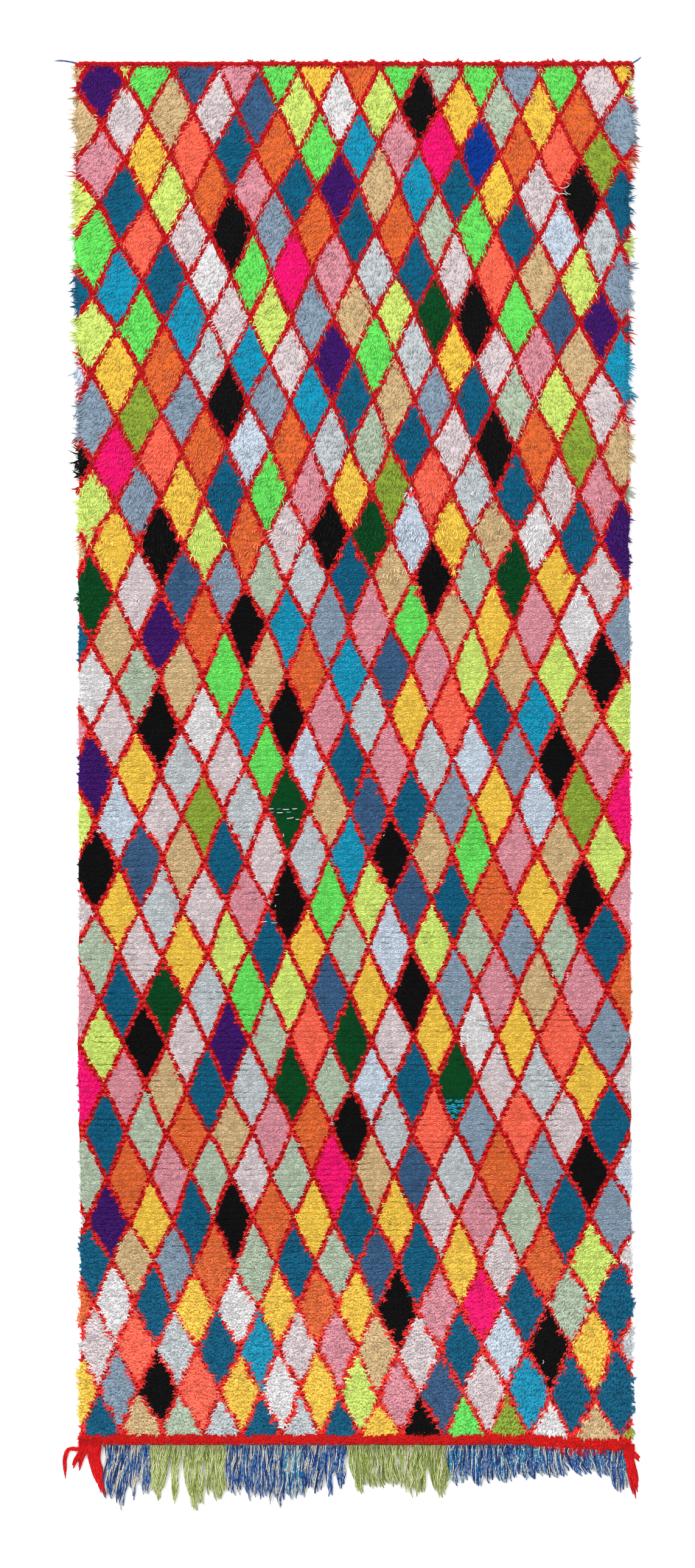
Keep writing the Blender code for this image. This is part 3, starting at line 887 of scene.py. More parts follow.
def tuft_tree():
    """Puts a tuft of the right shape on every knot."""
    inputs = (
        ("Tuft shapes", "NodeSocketCollection", None),
        ("Size", "NodeSocketFloat", TUFT_SIZE),
        ("Yarn", "NodeSocketMaterial", None),
    )
    tree, group_in, group_out = new_geometry_tree("knot_tufts", inputs)
    given = group_in.outputs
    chosen = {"Collection": given["Tuft shapes"], "Separate Children": True, "Reset Children": True}
    shapes = add_node(tree, "GeometryNodeCollectionInfo", chosen)
    inputs = {
        "Points": given["Geometry"],
        "Instance": shapes.outputs["Instances"],
        "Pick Instance": True,
        "Instance Index": read_attribute(tree, "shape", "INT"),
        "Rotation": read_attribute(tree, "turn", "FLOAT_VECTOR"),
        "Scale": vector(tree, "SCALE", read_attribute(tree, "stretch", "FLOAT_VECTOR"), given["Size"]),
    }
    placed = add_node(tree, "GeometryNodeInstanceOnPoints", inputs).outputs["Instances"]
    real = add_node(tree, "GeometryNodeRealizeInstances", {"Geometry": placed}).outputs["Geometry"]
    shade = add_node(tree, "ShaderNodeCombineXYZ", {"X": read_attribute(tree, "shade", "FLOAT")})
    moved = vector(tree, "ADD", read_attribute(tree, BAKE_MAP, "FLOAT_VECTOR"), shade.outputs["Vector"])
    finish_tree(tree, stored(tree, real, BAKE_MAP, moved, "FLOAT2", "CORNER"), group_in, group_out)
    return tree


def ply_tube(tree, ply, path, ring, turns, lay, taper, directions):
    """One ply: a tube that winds round the yarn's path, with its dye in its map."""
    angle = multiplied(tree, arithmetic(tree, "ADD", turns, ply / PLIES), 2 * math.pi)
    steps = []
    for wave, direction in zip(("COSINE", "SINE"), directions):
        size = multiplied(tree, arithmetic(tree, wave, angle, 0.0), lay)
        steps.append(vector(tree, "SCALE", direction, size))
    inputs = {"Geometry": path, "Offset": vector(tree, "ADD", *steps)}
    laid = add_node(tree, "GeometryNodeSetPosition", inputs).outputs["Geometry"]
    inputs = {"Curve": laid, "Profile Curve": ring, "Fill Caps": True, "Scale": taper}
    tube = add_node(tree, "GeometryNodeCurveToMesh", inputs).outputs["Mesh"]
    shift = multiplied(tree, read_attribute(tree, "around", "FLOAT"), 0.02)
    dye = arithmetic(tree, "ADD", read_attribute(tree, DYES[ply], "FLOAT"), shift)
    pair = add_node(tree, "ShaderNodeCombineXYZ", {"X": dye, "Y": read_attribute(tree, "along", "FLOAT")})
    return stored(tree, tube, BAKE_MAP, pair.outputs["Vector"], "FLOAT2", "CORNER")


def yarn_tree():
    """Twists the plies of a yarn round each path of a mesh of edges."""
    inputs = [(name, "NodeSocketFloat", size) for name, size in FRINGE_YARN.items()]
    inputs.append(("Yarn", "NodeSocketMaterial", None))
    tree, group_in, group_out = new_geometry_tree("twisted_yarns", inputs)
    given = group_in.outputs
    path = add_node(tree, "GeometryNodeMeshToCurve", {"Mesh": given["Geometry"]}).outputs["Curve"]
    soft = add_node(tree, "GeometryNodeCurveSplineType", {"Curve": path}, spline_type="CATMULL_ROM")
    inputs = {"Curve": soft.outputs["Curve"], "Length": given["Step"]}
    path = add_node(tree, "GeometryNodeResampleCurve", inputs, mode="LENGTH").outputs["Curve"]
    spot = tree.nodes.new("GeometryNodeSplineParameter")
    path = stored(tree, path, "along", spot.outputs["Factor"])
    inputs = {"Resolution": 3, "Radius": given["Ply radius"]}
    ring = add_node(tree, "GeometryNodeCurvePrimitiveCircle", inputs, mode="RADIUS").outputs["Curve"]
    ring = stored(tree, ring, "around", tree.nodes.new("GeometryNodeInputIndex").outputs["Index"])
    normal = tree.nodes.new("GeometryNodeInputNormal").outputs["Normal"]
    tangent = tree.nodes.new("GeometryNodeInputTangent").outputs["Tangent"]
    directions = (normal, vector(tree, "CROSS_PRODUCT", tangent, normal))
    taper = mapped(tree, spot.outputs["Factor"], 0.84, 1.0, 1.0, 0.40)
    lay = multiplied(tree, given["Lay radius"], taper)
    turns = arithmetic(tree, "DIVIDE", spot.outputs["Length"], given["Turn length"])
    turns = arithmetic(tree, "ADD", turns, read_attribute(tree, "phase", "FLOAT"))
    plies = [ply_tube(tree, ply, path, ring, turns, lay, taper, directions) for ply in range(PLIES)]
    joined = tree.nodes.new("GeometryNodeJoinGeometry")
    for ply in plies:
        tree.links.new(ply, joined.inputs["Geometry"])
    finish_tree(tree, joined.outputs["Geometry"], group_in, group_out)
    return tree


def apply_tree(obj, tree, values):
    """Runs a tree on an object with named values and keeps the result as a plain mesh."""
    modifier = obj.modifiers.new("tree", "NODES")
    modifier.node_group = tree
    for item in tree.interface.items_tree:
        if item.in_out == "INPUT" and item.name in values:
            modifier[item.identifier] = values[item.name]
    graph = bpy.context.evaluated_depsgraph_get()
    result = bpy.data.meshes.new_from_object(obj.evaluated_get(graph), depsgraph=graph)
    old = obj.data
    obj.modifiers.remove(modifier)
    obj.data = result
    result.name = obj.name
    bpy.data.meshes.remove(old)
    for attribute in list(result.attributes):
        if attribute.name in SCRATCH_FIELDS:
            result.attributes.remove(result.attributes[attribute.name])
    result.update()
    return obj


def tufts_object(name, points, shape, yaw, stretch, shade, tools, material):
    """One piece of tufts on points: the shape of each, the way that it leans, its stretch and its shade."""
    obj = mesh_object(name, points.tolist(), [])
    turn = np.stack([np.zeros(len(yaw)), np.zeros(len(yaw)), yaw], 1)
    fill_attribute(obj.data, "shape", "INT", "POINT", shape)
    fill_attribute(obj.data, "turn", "FLOAT_VECTOR", "POINT", turn)
    fill_attribute(obj.data, "stretch", "FLOAT_VECTOR", "POINT", stretch)
    fill_attribute(obj.data, "shade", "FLOAT", "POINT", shade)
    shapes, tree = tools
    return apply_tree(obj, tree, {"Tuft shapes": shapes, "Size": TUFT_SIZE, "Yarn": material})


def twisted_object(name, strands, sizes, tree, material):
    """One piece of twisted yarns, one for each strand: (points, phase, the colour of each ply)."""
    points, edges, phases, dyes = [], [], [], []
    for path, phase, colours in strands:
        start = len(points)
        points += path
        edges += [(start + k, start + k + 1) for k in range(len(path) - 1)]
        phases += [phase] * len(path)
        dyes += [[(colour + 0.30) / 6 for colour in colours]] * len(path)
    obj = mesh_object(name, points, [], edges)
    fill_attribute(obj.data, "phase", "FLOAT", "POINT", phases)
    for ply, field in enumerate(DYES):
        fill_attribute(obj.data, field, "FLOAT", "POINT", [row[ply] for row in dyes])
    return apply_tree(obj, tree, {**sizes, "Yarn": material})


def fasten(piece, node):
    """Attaches a piece to the body that carries it, and hides the solid that it stands for."""
    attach(piece, BODY)
    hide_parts(node)
    return piece


# Knotted field


def nap_direction(x, y):
    """Which way the pile leans: mostly towards the foot, and outwards near the side edges."""
    across = x / HALF_WIDTH
    up = y / HALF_LENGTH
    head = smooth(y, SHAGGY_FROM_Y, SHAGGY_FULL_Y)
    out = across * (0.10 + 0.55 * head) + (0.15 + 0.30 * head) * ripple(x, y, 0.33, 1.9)
    rise = -1.0 + (0.15 + 0.25 * head) * ripple(x, y, 0.24, 5.3)
    corner = smooth(across, 0.2, 0.8) * smooth(-up, 0.62, 0.88)
    out = out + 1.3 * corner
    rise = rise + 0.35 * corner
    edge = smooth(np.abs(across), 0.972, 0.996) * (1 - 0.3 * head)
    out = out + 1.6 * np.sign(across) * edge
    return np.arctan2(rise, out)


def knot_places():
    """Places of all knots, row by row from the head, with a little unevenness."""
    rng = np.random.default_rng(SEED)
    column, row = np.meshgrid(np.arange(KNOT_COLUMNS), np.arange(KNOT_ROWS))
    column, row = column.ravel(), row.ravel()
    x = -HALF_WIDTH + KNOT_STEP * (column + 0.5)
    y = FIELD_HEAD_Y - ROW_STEP * (row + 0.5)
    falling, rising = falling_and_rising(x, y)
    falling = falling + LATTICE_ROUGHNESS * rng.standard_normal(x.size)
    rising = rising + LATTICE_ROUGHNESS * rng.standard_normal(x.size)
    wave = np.sin(2 * math.pi * x / 0.043 + 2.4 * row) + np.sin(2 * math.pi * x / 0.029 + 3.7 * row)
    x, y = laid_out(x, y)
    x = x + KNOT_JITTER * rng.uniform(-1, 1, x.size)
    y = y + ROW_JITTER * rng.uniform(-1, 1, x.size) + 0.5 * ROW_WAVE * wave
    return x, y, falling, rising


def yarn_of_knots(x, y, falling, rising, dealt):
    """The yarn of each knot. The lattice's lines are named for their direction."""
    names = []
    for k in range(len(x)):
        near_falling = abs(falling[k] - round(falling[k]))
        near_rising = abs(rising[k] - round(rising[k]))
        if min(near_falling, near_rising) < LINE_HALF_WIDTH:
            names.append("line_falling" if near_falling < near_rising else "line_rising")
            continue
        place = diamond_at(falling[k], rising[k])
        yarn = dealt.get(place, "beige")
        if place == TWO_TONE_DIAMOND and (falling[k] + rising[k]) > place[1] + CYAN_FROM:
            yarn = "cyan"
        names.append(yarn)
    return names


def edge_fans(x, y, shaggy):
    """How near a knot is to a side edge, and how far its fan of pile turns it there."""
    at_edge = smooth(np.abs(x), HALF_WIDTH - 0.012, HALF_WIDTH - 0.002)
    fan = (y / FAN_WIDTH + 0.4 * np.sin(y * 31.0)) % 1.0 - 0.5
    return at_edge, np.sign(x) * at_edge * (0.3 + 0.7 * shaggy) * 2.0 * fan


def lay_tufts(name, x, y, rng, tools, material, worn, line_reach, line_height, shade_shift):
    """One piece of tufts on the given knots."""
    count = len(x)
    shaggy = shagginess(y)
    chance = rng.uniform(0, 1, count)
    kind = np.where(worn, NUB, np.where(chance < shaggy, SHAGGY, TRODDEN))
    shape = kind * SHAPES_OF_A_KIND + rng.integers(0, SHAPES_OF_A_KIND, count)
    yaw = nap_direction(x, y) + np.where(kind == SHAGGY, 0.45, 0.30) * rng.standard_normal(count)
    cracked = np.exp(-(((y - CRACKED_MIDDLE_Y) / CRACKED_REACH) ** 2))
    gap = smooth(ripple(x, y, CLUMP_WIDTH, 4.4), 0.40, 0.95)
    low_knot = (kind == TRODDEN) * (rng.uniform(0, 1, count) < LOW_KNOTS)
    height = (0.98 + 0.07 * ripple(x, y, 0.11, 2.2)) * rng.uniform(0.85, 1.12, count) * (1 - GAP_DROP * gap)
    height = height * (1 - LOW_KNOT_DROP * low_knot)
    girth = rng.uniform(0.90, 1.15, count)
    reach = np.where(kind == SHAGGY, rng.uniform(0.80, 1.15, count), 1 - 0.14 * cracked)
    at_edge, fan_turn = edge_fans(x, y, shaggy)
    reach = reach * (1 + (0.25 + 0.55 * shaggy) * at_edge)
    yaw = yaw + fan_turn
    fluffy = np.where(kind == TRODDEN, fluffiness(y), 0.0)
    height = height * (1 + 0.15 * fluffy)
    full = np.where(kind == SHAGGY, 1.0, TRODDEN_GIRTH + (FLUFFY_GIRTH - TRODDEN_GIRTH) * fluffy)
    side_reach = girth * line_reach * full
    reach = reach * (1 + 0.10 * fluffy)
    stretch = np.stack([side_reach * reach, side_reach, height * line_height], 1)
    patchy = 0.07 * ripple(x, y, 0.09, 3.3) + (0.08 + 0.08 * shaggy) * ripple(x, y, 0.024, 0.9)
    # Tufts in the gaps between clumps and the low knots get painted shade.
    patchy = patchy - GAP_PAINTED_SHADE * gap - LOW_KNOT_PAINTED_SHADE * low_knot
    uneven = np.where(kind == SHAGGY, 0.11, 0.19) * rng.standard_normal(count)
    balance = 0.17 - 0.38 * shaggy + 0.04 * fluffy
    shade = np.clip(0.5 + uneven + patchy + balance + shade_shift, *SHADE_RANGE)
    points = np.stack([x, y, root_height(x, y)], 1)
    return tufts_object(name, points, shape, yaw, stretch, shade, tools, material)


def diamond_grid(diamonds, dealt):
    """A flat mesh of all the diamonds, each of a few faces, cut off at the field's edges. Its faces hold
    their yarn's colour."""
    flat = bmesh.new()
    yarn_colour = flat.faces.layers.float_color.new("knot_colour")
    wanted = {(a + p, b + q) for a, b in diamonds for p, q in ((0, 0), (1, 1), (1, -1), (-1, 1), (-1, -1))}
    starts = {place: ((place[1] + place[0] - 1) // 2, (place[1] - place[0] - 1) // 2) for place in wanted}
    lows = [min(start[axis] for start in starts.values()) for axis in (0, 1)]
    highs = [max(start[axis] for start in starts.values()) + 1 for axis in (0, 1)]
    steps = [np.arange((high - low) * CELL_STEPS + 1) / CELL_STEPS + low for low, high in zip(lows, highs)]
    xs, ys = place_of_counts(*np.meshgrid(steps[0], steps[1], indexing="ij"))
    points = {}
    for place in sorted(wanted):
        first = [(starts[place][axis] - lows[axis]) * CELL_STEPS for axis in (0, 1)]
        colour = linear(YARNS[dealt.get(place, "beige")][0])
        for i in range(first[0], first[0] + CELL_STEPS):
            for j in range(first[1], first[1] + CELL_STEPS):
                ring = []
                for corner in ((i, j), (i + 1, j), (i + 1, j + 1), (i, j + 1)):
                    if corner not in points:
                        points[corner] = flat.verts.new((xs[corner], ys[corner], 0.0))
                    ring.append(points[corner])
                flat.faces.new(ring)[yarn_colour] = colour
    for normal, place in (
        ((1, 0, 0), (HALF_WIDTH, 0, 0)),
        ((-1, 0, 0), (-HALF_WIDTH, 0, 0)),
        ((0, 1, 0), (0, FIELD_HEAD_Y, 0)),
        ((0, -1, 0), (0, FIELD_FOOT_Y, 0)),
    ):
        everything = flat.verts[:] + flat.edges[:] + flat.faces[:]
        bmesh.ops.bisect_plane(flat, geom=everything, plane_co=place, plane_no=normal, clear_outer=True)
    for side in (-1, 1):
        for inwards in (0.3, 1.0):
            everything = flat.verts[:] + flat.edges[:] + flat.faces[:]
            place = (side * (HALF_WIDTH - inwards * RIM_WIDTH), 0, 0)
            bmesh.ops.bisect_plane(flat, geom=everything, plane_co=place, plane_no=(1, 0, 0))
    for face in flat.faces:
        if face.normal.z < 0:
            face.normal_flip()
    flat.verts.index_update()
    return flat


def slab_faces(flat, count):
    """Faces of a slab with a flat mesh as its two sides: (corners, colour, start of its map)."""
    yarn_colour = flat.faces.layers.float_color["knot_colour"]
    faces = []
    for face in flat.faces:
        ring = [v.index for v in face.verts]
        colour = tuple(face[yarn_colour])
        faces.append((tuple(ring), colour, 0.0))
        faces.append((tuple(k + count for k in reversed(ring)), colour, 0.51))
    for edge in flat.edges:
        if len(edge.link_faces) == 1:
            loop = edge.link_loops[0]
            a, b = loop.vert.index, loop.link_loop_next.vert.index
            faces.append(((b, a, a + count, b + count), tuple(edge.link_faces[0][yarn_colour]), 0.0))
    return faces


def add_ground_weave(diamonds, dealt):
    """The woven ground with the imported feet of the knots: a slab whose upper side and underside both show the
    diamonds."""
    flat = diamond_grid(diamonds, dealt)
    plan = np.array([v.co[:2] for v in flat.verts])
    count = len(plan)
    laid = np.column_stack(laid_out(plan[:, 0], plan[:, 1]))
    upper = np.column_stack([laid, bed_height(plan[:, 0], plan[:, 1])])
    points = np.concatenate([upper, np.column_stack([laid, np.zeros(count)])])
    faces, colours, map_starts = zip(*slab_faces(flat, count))
    flat.free()
    obj = mesh_object("ground_weave", points.tolist(), faces)
    mesh = obj.data
    counts = np.tile(np.stack([*falling_and_rising(plan[:, 0], plan[:, 1]), np.zeros(count)], 1), (2, 1))
    fill_attribute(mesh, "line_counts", "FLOAT_VECTOR", "POINT", counts)
    fill_attribute(mesh, "knot_colour", "FLOAT_COLOR", "FACE", colours)
    layer = mesh.uv_layers.new(name=BAKE_MAP)
    for polygon, start in zip(mesh.polygons, map_starts):
        for loop in polygon.loop_indices:
            x, y = plan[mesh.loops[loop].vertex_index % count]
            u = start + 0.49 * (x + HALF_WIDTH) / (2 * HALF_WIDTH)
            v = (y - FIELD_FOOT_Y) / (FIELD_HEAD_Y - FIELD_FOOT_Y)
            layer.data[loop].uv = (u, v)
    mesh.materials.append(ground_material())
    return fasten(obj, "pile_field")


def add_field(tools):
    """The ground weave and the pile, one piece for each yarn."""
    x, y, falling, rising = knot_places()
    diamonds = {diamond_at(a, b) for a, b in zip(falling, rising)}
    dealt = deal_yarns(diamonds, random.Random(SEED))
    names = np.array(yarn_of_knots(x, y, falling, rising, dealt))
    ground = add_ground_weave(diamonds, dealt)
    rng = np.random.default_rng(SEED + 1)
    pieces = []
    for name in sorted(set(names)):
        chosen = names == name
        worn = np.zeros(chosen.sum(), bool)
        if name == "dark_green":
            places = [diamond_at(a, b) for a, b in zip(falling[chosen], rising[chosen])]
            worn = np.array([place in (WORN_DIAMOND, TWO_TONE_DIAMOND) for place in places])
        if name.startswith("line"):
            colours = (LINE_HEAD_COLOUR, LINE_FOOT_COLOUR)
            material = yarn_material(f"wool_{name}", *colours, LINE_ROOT_LIGHT, LINE_SHADE_SPREAD)
            # Line tufts grow lighter and more scarlet towards the foot: partly the yarn's hue, partly painted
            # light.
            shift = LINE_FOOT_LIFT * (1 - smooth(y[chosen], -0.1, 0.5))
            reach = LINE_REACH - LINE_FOOT_LOSS * smooth(-y[chosen], 0.1, 0.9)
            looks = (material, worn, reach, LINE_HEIGHT, shift)
        else:
            looks = (yarn_material(f"wool_{name}", YARNS[name][0]), worn, 1.0, 1.0, 0.0)
        piece = lay_tufts(f"pile_{name}", x[chosen], y[chosen], rng, tools, *looks)
        pieces.append(fasten(piece, "pile_field"))
    return ground, pieces


# Head and foot


def add_bar(name, stations, section, material):
    """A closed bar along X. section gives its (y, z) points at a station."""
    rings = [section(x) for x in stations]
    count = len(rings[0])
    points = [(x, y, z) for x, ring in zip(stations, rings) for y, z in ring]
    faces = []
    for s in range(len(stations) - 1):
        for k in range(count):
            a, b = s * count, (s + 1) * count
            faces.append((a + k, a + (k + 1) % count, b + (k + 1) % count, b + k))
    faces.append(tuple(reversed(range(count))))
    faces.append(tuple(range((len(stations) - 1) * count, len(stations) * count)))
    obj = mesh_object(name, points, faces)
    obj.data.materials.append(material)
    return obj


def add_head_roll(material):
    """The rolled head, bound over with red yarn whose turns show as lumps, more so towards the right."""
    xs = np.linspace(-HALF_WIDTH - 0.001, HALF_WIDTH + 0.001, HEAD_STATIONS)

    def section(x):
        lumpy = 0.35 + 0.65 * float(smooth(x, -0.25, 0.0))
        middle_y = HEAD_INNER_Y + 0.0044 + 0.0013 * lumpy * float(ripple(x, 0.0, 0.050, 1.1))
        points = []
        for k in range(HEAD_SIDES):
            angle = 2 * math.pi * k / HEAD_SIDES
            wrap = 2 * math.pi * x / WRAP_PITCH + 1.4 * math.sin(x * 70) + 0.8 * angle
            lump = 0.0011 * lumpy * math.sin(wrap)
            radius = HEAD_CORD_RADIUS + lump + 0.0004 * float(ripple(x, 0.0, 0.013, 3.0 + k))
            y = middle_y + 1.12 * radius * math.cos(angle)
            points.append((y, max(0.0, HEAD_CORD_RADIUS + radius * math.sin(angle))))
        return points

    roll = add_bar("head_roll", [float(x) for x in xs], section, material)
    return fasten(roll, "top_binding")


def add_foot_bar(material):
    """The low woven foot of the red band, under its tufts."""
    xs = np.linspace(-HALF_WIDTH, HALF_WIDTH + 0.002, FOOT_STATIONS)

    def section(x):
        low = FOOT_OUTER_Y + 0.0025 + 0.0012 * float(ripple(x, 0.0, 0.06, 2.7)) - float(sag(x, FOOT_OUTER_Y))
        inner = FOOT_INNER_Y - float(sag(x, FOOT_INNER_Y))
        return [(low, 0.0), (inner, 0.0), (inner, 0.0046), (low + 0.004, 0.0048), (low, 0.0030)]

    bar = add_bar("foot_weave", [float(x) for x in xs], section, material)
    return fasten(bar, "foot_band")


def red_tufts(name, node, places, rng, tools, material):
    """One piece of red tufts. Each place is x, y, height of the root, lean, tallness and reach."""
    xs, ys, roots, yaws, heights, reaches = (np.array(column) for column in zip(*places))
    shape = TRODDEN * SHAPES_OF_A_KIND + rng.integers(0, SHAPES_OF_A_KIND, xs.size)
    girth = rng.uniform(0.90, 1.20, xs.size)
    stretch = np.stack([girth * reaches, girth, heights], 1)
    shade = np.clip(0.5 + 0.10 * rng.standard_normal(xs.size), 0.28, 0.70)
    points = np.stack([xs, ys, roots], 1)
    return fasten(tufts_object(name, points, shape, yaws, stretch, shade, tools, material), node)


def add_band_tufts(tools, material):
    """Rows of red tufts on the foot band, and shreds that hang over the fringe at its right end."""
    rng = np.random.default_rng(SEED + 5)
    places = []
    for down, tall in BAND_ROWS:
        for k in range(KNOT_COLUMNS + 1):
            x = -HALF_WIDTH + 0.001 + KNOT_STEP * k * 0.998 + 0.001 * rng.uniform(-1, 1)
            y = FOOT_INNER_Y - down + 0.0010 * rng.uniform(-1, 1) - float(sag(x, FOOT_INNER_Y - down))
            lean = rng.normal(-math.pi / 2, 0.5)
            places.append((x, y, BAND_ROOT_HEIGHT, lean, tall * rng.uniform(0.75, 1.15), 1.0))
    for _ in range(BAND_SHREDS):
        x = rng.uniform(0.325, 0.478)
        below = 0.010 * float(smooth(x, 0.32, 0.39)) * (1 - float(smooth(x, 0.43, 0.48)))
        y = FOOT_OUTER_Y + 0.003 - below * rng.uniform(0, 1) - float(sag(x, FOOT_OUTER_Y))
        places.append((x, y, BAND_ROOT_HEIGHT + 0.001, rng.normal(-1.2, 0.6), 1.5, rng.uniform(1.0, 1.7)))
    return red_tufts("foot_band_pile", "foot_band", places, rng, tools, material)


def add_head_tufts(tools, material):
    """Red tufts along the rolled head: where it meets the pile, at its ends, and a few that stand out."""
    rng = np.random.default_rng(SEED + 6)
    places = []
    for k in range(KNOT_COLUMNS):
        x = -HALF_WIDTH + KNOT_STEP * (k + 0.5) + 0.001 * rng.uniform(-1, 1)
        y = HEAD_INNER_Y + 0.0012 + 0.0012 * rng.uniform(-1, 1)
        lean = rng.normal(-math.pi / 2, 0.6)
        places.append((x, y, 0.0094, lean, rng.uniform(0.7, 1.1), rng.uniform(0.7, 1.3)))
    for x in HEAD_TUFTS:
        for _ in range(3):
            spot = (x + 0.003 * rng.uniform(-1, 1), HEAD_INNER_Y + 0.0060)
            places.append((*spot, 0.0050, rng.normal(math.pi / 2, 0.5), 0.9, rng.uniform(0.9, 1.3)))
    for side, down in ((-1, 0.016), (1, 0.026)):
        for k in range(CORNER_TUFTS):
            spot = (side * (HALF_WIDTH + 0.001), FIELD_HEAD_Y + 0.004 - down * k / (CORNER_TUFTS - 1))
            out = math.pi / 2 - side * rng.uniform(1.2, 2.1)
            places.append((*spot, 0.0045, out, 1.1, rng.uniform(0.8, 1.3)))
    return red_tufts("head_tufts", "top_binding", places, rng, tools, material)


# Fringe, tassels and loose ends


def fringe_path(rng, root_x, lean, draw, late, drop):
    """Points of one warp from its root to its tip. It leans with its bunch all the way, and is drawn into the
    bunch's point near its tip."""
    crook = rng.uniform(-0.0036, 0.0036)
    turn = rng.uniform(1.2, 4.2)
    root_y = FRINGE_ROOT_Y - float(sag(root_x, FRINGE_ROOT_Y))
    lift = rng.uniform(0.0, 0.0036)
    curl = rng.uniform(-0.003, 0.003)
    path = []
    for k in range(PATH_STEPS + 1):
        share = k / PATH_STEPS
        x = root_x + lean * share**1.4 + draw * share**late
        x += crook * math.sin(math.pi * share * turn) + curl * share**5
        path.append((x, root_y - drop * share, LAID_HEIGHT + lift + 0.0018 * (1 - share) ** 3))
    return path


def add_fringe_run(name, tree, material, rng):
    """All bunches of one run of warps, as one piece."""
    is_blue = "blue" in name
    dyes_of = blue_dyes if is_blue else olive_dyes
    strands = []
    for left, right, tips, tip_width, drop, late in FRINGE_BUNCHES[name]:
        lean = tips - (left + right) / 2
        count = max(3, round((right - left) / STRAND_PITCH))
        for k in range(count):
            share = (k + 0.5) / count
            root_x = left + (right - left) * share
            edge = 2 * share - 1
            length = drop * (1 - 0.12 * abs(edge) ** 2) * rng.choice(STRAND_LENGTHS)
            narrow = 0.5 * edge * (tip_width - (right - left))
            path = fringe_path(rng, root_x, lean, narrow, late, length)
            strands.append((path, rng.uniform(0, 1), dyes_of(root_x, rng)))
    obj = twisted_object(name.replace("fringe", "warps"), strands, FRINGE_YARN, tree, material)
    return fasten(obj, name)


def blue_dyes(x, rng):
    """Which colours a blue warp's plies have: turquoise in one patch, and greyer at the right end."""
    blues = (5, 4, 4, 3, 3)
    if -0.128 < x < -0.095 or (0.17 < x < 0.34 and rng.uniform(0, 1) < 0.40):
        blues = (4, 0, 0)
    if x > 0.34 and rng.uniform(0, 1) < 0.4:
        blues = (3, 3, 1)
    last = (0, 3, 4, 5) if x > 0.168 else (1, 1, 2, 2, 3)
    return [rng.choice(blues), rng.choice(blues), rng.choice((1, 2, 2, 3)), rng.choice(last)]


def olive_dyes(x, rng):
    """Which colours an olive warp's plies have."""
    last = (0, 2, 3) if x > 0 else (0, 1, 2)
    deep = (3, 4, 5) if x > 0 else (1, 3, 4)
    return [rng.choice((0, 1, 2)), rng.choice((1, 2, 3)), rng.choice(deep), rng.choice(last)]


def add_tassel(name, corner, rows, tree, material, rng):
    """Loose red yarns at one lower corner, each with some shorter ones beside it."""
    strands = []
    for root_x, steps in rows:
        for copy in range(TASSEL_COPIES):
            aside = (copy - TASSEL_COPIES // 2) * TASSEL_COPY_STEP
            root_y = FOOT_OUTER_Y - float(sag(root_x, FOOT_OUTER_Y))
            path = [(root_x + aside, root_y + 0.010, 0.0070), (root_x + aside, root_y - 0.003, 0.0060)]
            shrink = 1.0 if aside == 0 else rng.uniform(0.66, 0.98)
            for k, (x, y) in enumerate(steps):
                far = (k + 1) / len(steps)
                spot = (corner + x + aside * (1 - 0.6 * far), root_y + y * shrink, 0.0044 - 0.0018 * far)
                path.append(spot)
            strands.append((path, rng.uniform(0, 1), [rng.randrange(6) for _ in range(PLIES)]))
    return fasten(twisted_object(name, strands, TASSEL_YARN, tree, material), f"corner_{name}")


def add_loose_end(side, start_x, steps, height, tree, material):
    """The uncut end of a warp beside the rolled head."""
    middle_y = HALF_LENGTH - 0.005
    strands = []
    for aside, dye in ((-0.0004, 5), (0.0010, 4)):
        heights = [height] + [0.0020] * (len(steps) - 1)
        path = [(start_x + x, middle_y + y + aside, z) for (x, y), z in zip(steps, heights)]
        strands.append((path, 0.3 * len(strands), (3, dye, 3, 5)))
    obj = twisted_object(f"warp_end_{side}", strands, LOOSE_YARN, tree, material)
    return fasten(obj, f"loose_end_{side}")


def add_wisps(tree, material):
    """The bits of weft and the wisps, as one piece."""
    strands = []
    for k, (x, y, length, way, curl, dye) in enumerate(WISPS):
        path, heading = [], math.radians(way)
        spot = [x - length / 2 * math.cos(heading), y - length / 2 * math.sin(heading)]
        top = float(bed_height(x, y)) + WISP_LIFT
        for _ in range(WISP_STEPS + 1):
            path.append((spot[0], spot[1], top))
            spot[0] += length / WISP_STEPS * math.cos(heading)
            spot[1] += length / WISP_STEPS * math.sin(heading)
            heading += curl / WISP_STEPS
        strands.append((path, 0.37 * k, [dye] * PLIES))
    obj = twisted_object("pile_wisps", strands, WISP_YARN, tree, material)
    return fasten(obj, "pile_field")


def add_trimmings(tools, red):
    """The head, the foot band, the fringe, the tassels, the loose ends and the wisps."""
    head_yarn = yarn_material("wool_head_tufts", LINE_HEAD_COLOUR)
    band_yarn = yarn_material("wool_band_tufts", BAND_COLOUR)
    pieces = [add_head_roll(red), add_head_tufts(tools, head_yarn)]
    pieces += [add_foot_bar(red), add_band_tufts(tools, band_yarn)]
    twist = yarn_tree()
    rng = random.Random(SEED + 9)
    blue = marl_material("marled_blue_warps", BLUE_WARPS)
    olive = marl_material("marled_olive_warps", OLIVE_WARPS)
    red_plies = marl_material("red_tassel_wool", RED_PLIES)
    for name in FRINGE_BUNCHES:
        pieces.append(add_fringe_run(name, twist, blue if "blue" in name else olive, rng))
    pieces.append(add_tassel("tassel_left", -HALF_WIDTH, LEFT_TASSEL, twist, red_plies, rng))
    pieces.append(add_tassel("tassel_right", HALF_WIDTH, RIGHT_TASSEL, twist, red_plies, rng))
    pieces.append(add_loose_end("left", -HALF_WIDTH, LEFT_LOOSE_END, 0.004, twist, blue))
    pieces.append(add_loose_end("right", HALF_WIDTH, RIGHT_LOOSE_END, 0.006, twist, blue))
    pieces.append(add_wisps(twist, blue))
    return pieces


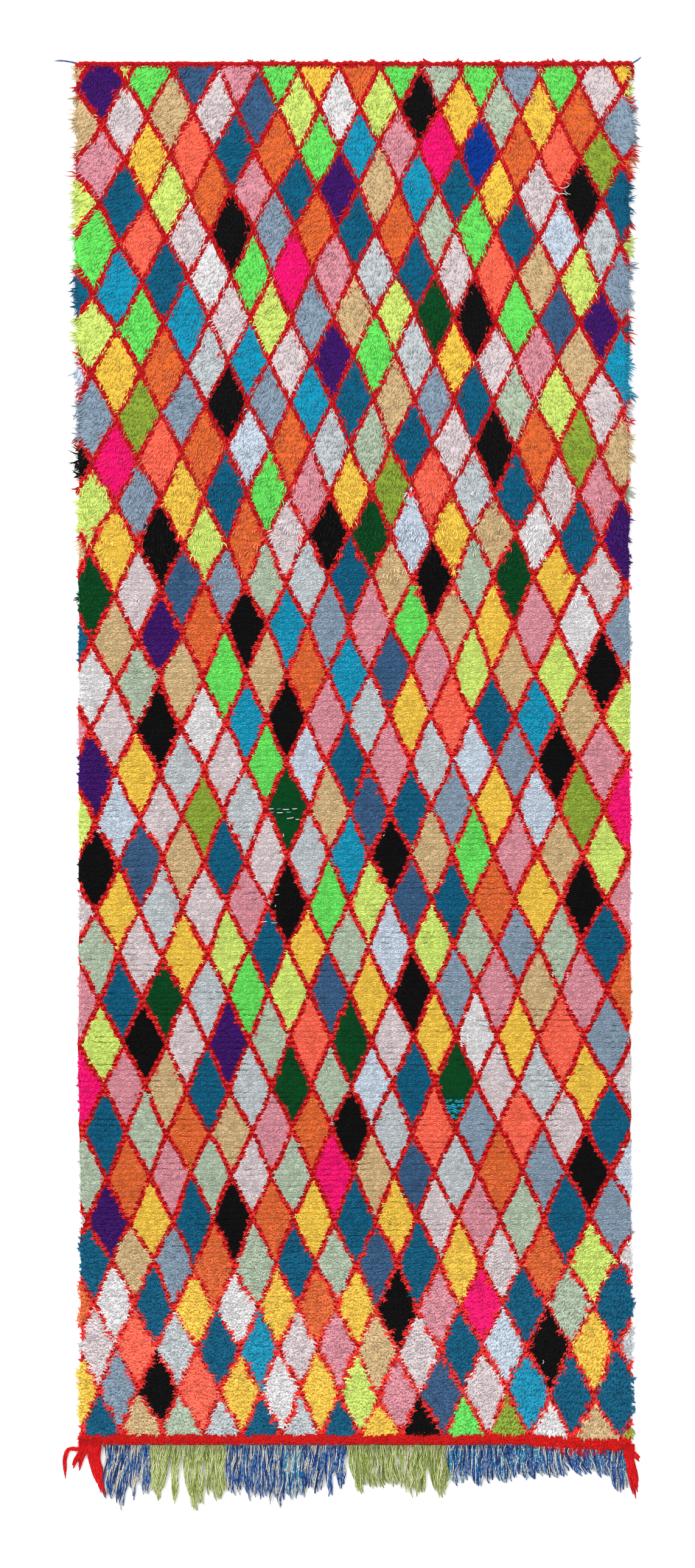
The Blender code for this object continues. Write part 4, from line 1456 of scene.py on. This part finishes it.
# Stage


def add_camera():
    """A camera straight above, which frames the rug as the photograph does."""
    data = bpy.data.cameras.new("camera")
    data.sensor_fit = "VERTICAL"
    data.sensor_height = SENSOR
    data.sensor_width = SENSOR
    data.lens = SENSOR * (CAMERA_PLACE[2] - PILE_HEIGHT) / FRAME_HEIGHT
    data.clip_end = 60.0
    camera = bpy.data.objects.new("camera", data)
    camera.location = CAMERA_PLACE
    bpy.context.scene.collection.objects.link(camera)
    bpy.context.scene.camera = camera


def add_light(name, place, side, power):
    """A large soft light that points at the rug's middle."""
    data = bpy.data.lights.new(name, "AREA")
    data.shape = "RECTANGLE"
    data.size = side
    data.size_y = side
    data.energy = power
    light = bpy.data.objects.new(name, data)
    light.location = place
    tilt = math.atan2(math.hypot(place[0], place[1]), place[2])
    light.rotation_euler = (tilt, 0.0, math.atan2(place[0], -place[1]))
    bpy.context.scene.collection.objects.link(light)


def add_stage():
    """A pale floor, soft light from above and a faint one from all round."""
    far = FLOOR_REACH
    corners = [(-far, -far, 0), (far, -far, 0), (far, far, 0), (-far, far, 0)]
    floor = mesh_object("floor", corners, [(0, 1, 2, 3)])
    floor.data.materials.append(floor_material())
    for light in LIGHTS:
        add_light(*light)
    world = bpy.data.worlds.new("studio")
    world.use_nodes = True
    background = world.node_tree.nodes["Background"]
    background.inputs["Color"].default_value = (1.0, 1.0, 1.0, 1.0)
    background.inputs["Strength"].default_value = WORLD_LIGHT
    bpy.context.scene.world = world
    bpy.context.scene.view_settings.view_transform = "Standard"
    return floor


def remove_shapes(shapes):
    """Takes the tuft shapes out of the file once every piece has its own mesh."""
    for obj in list(shapes.objects):
        mesh = obj.data
        bpy.data.objects.remove(obj)
        bpy.data.meshes.remove(mesh)
    bpy.data.collections.remove(shapes)


def build():
    """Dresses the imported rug."""
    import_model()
    add_camera()
    floor = add_stage()
    tools = (tuft_shapes(), tuft_tree())
    ground, pile = add_field(tools)
    trimmings = add_trimmings(tools, band_material())
    remove_shapes(tools[0])


build()
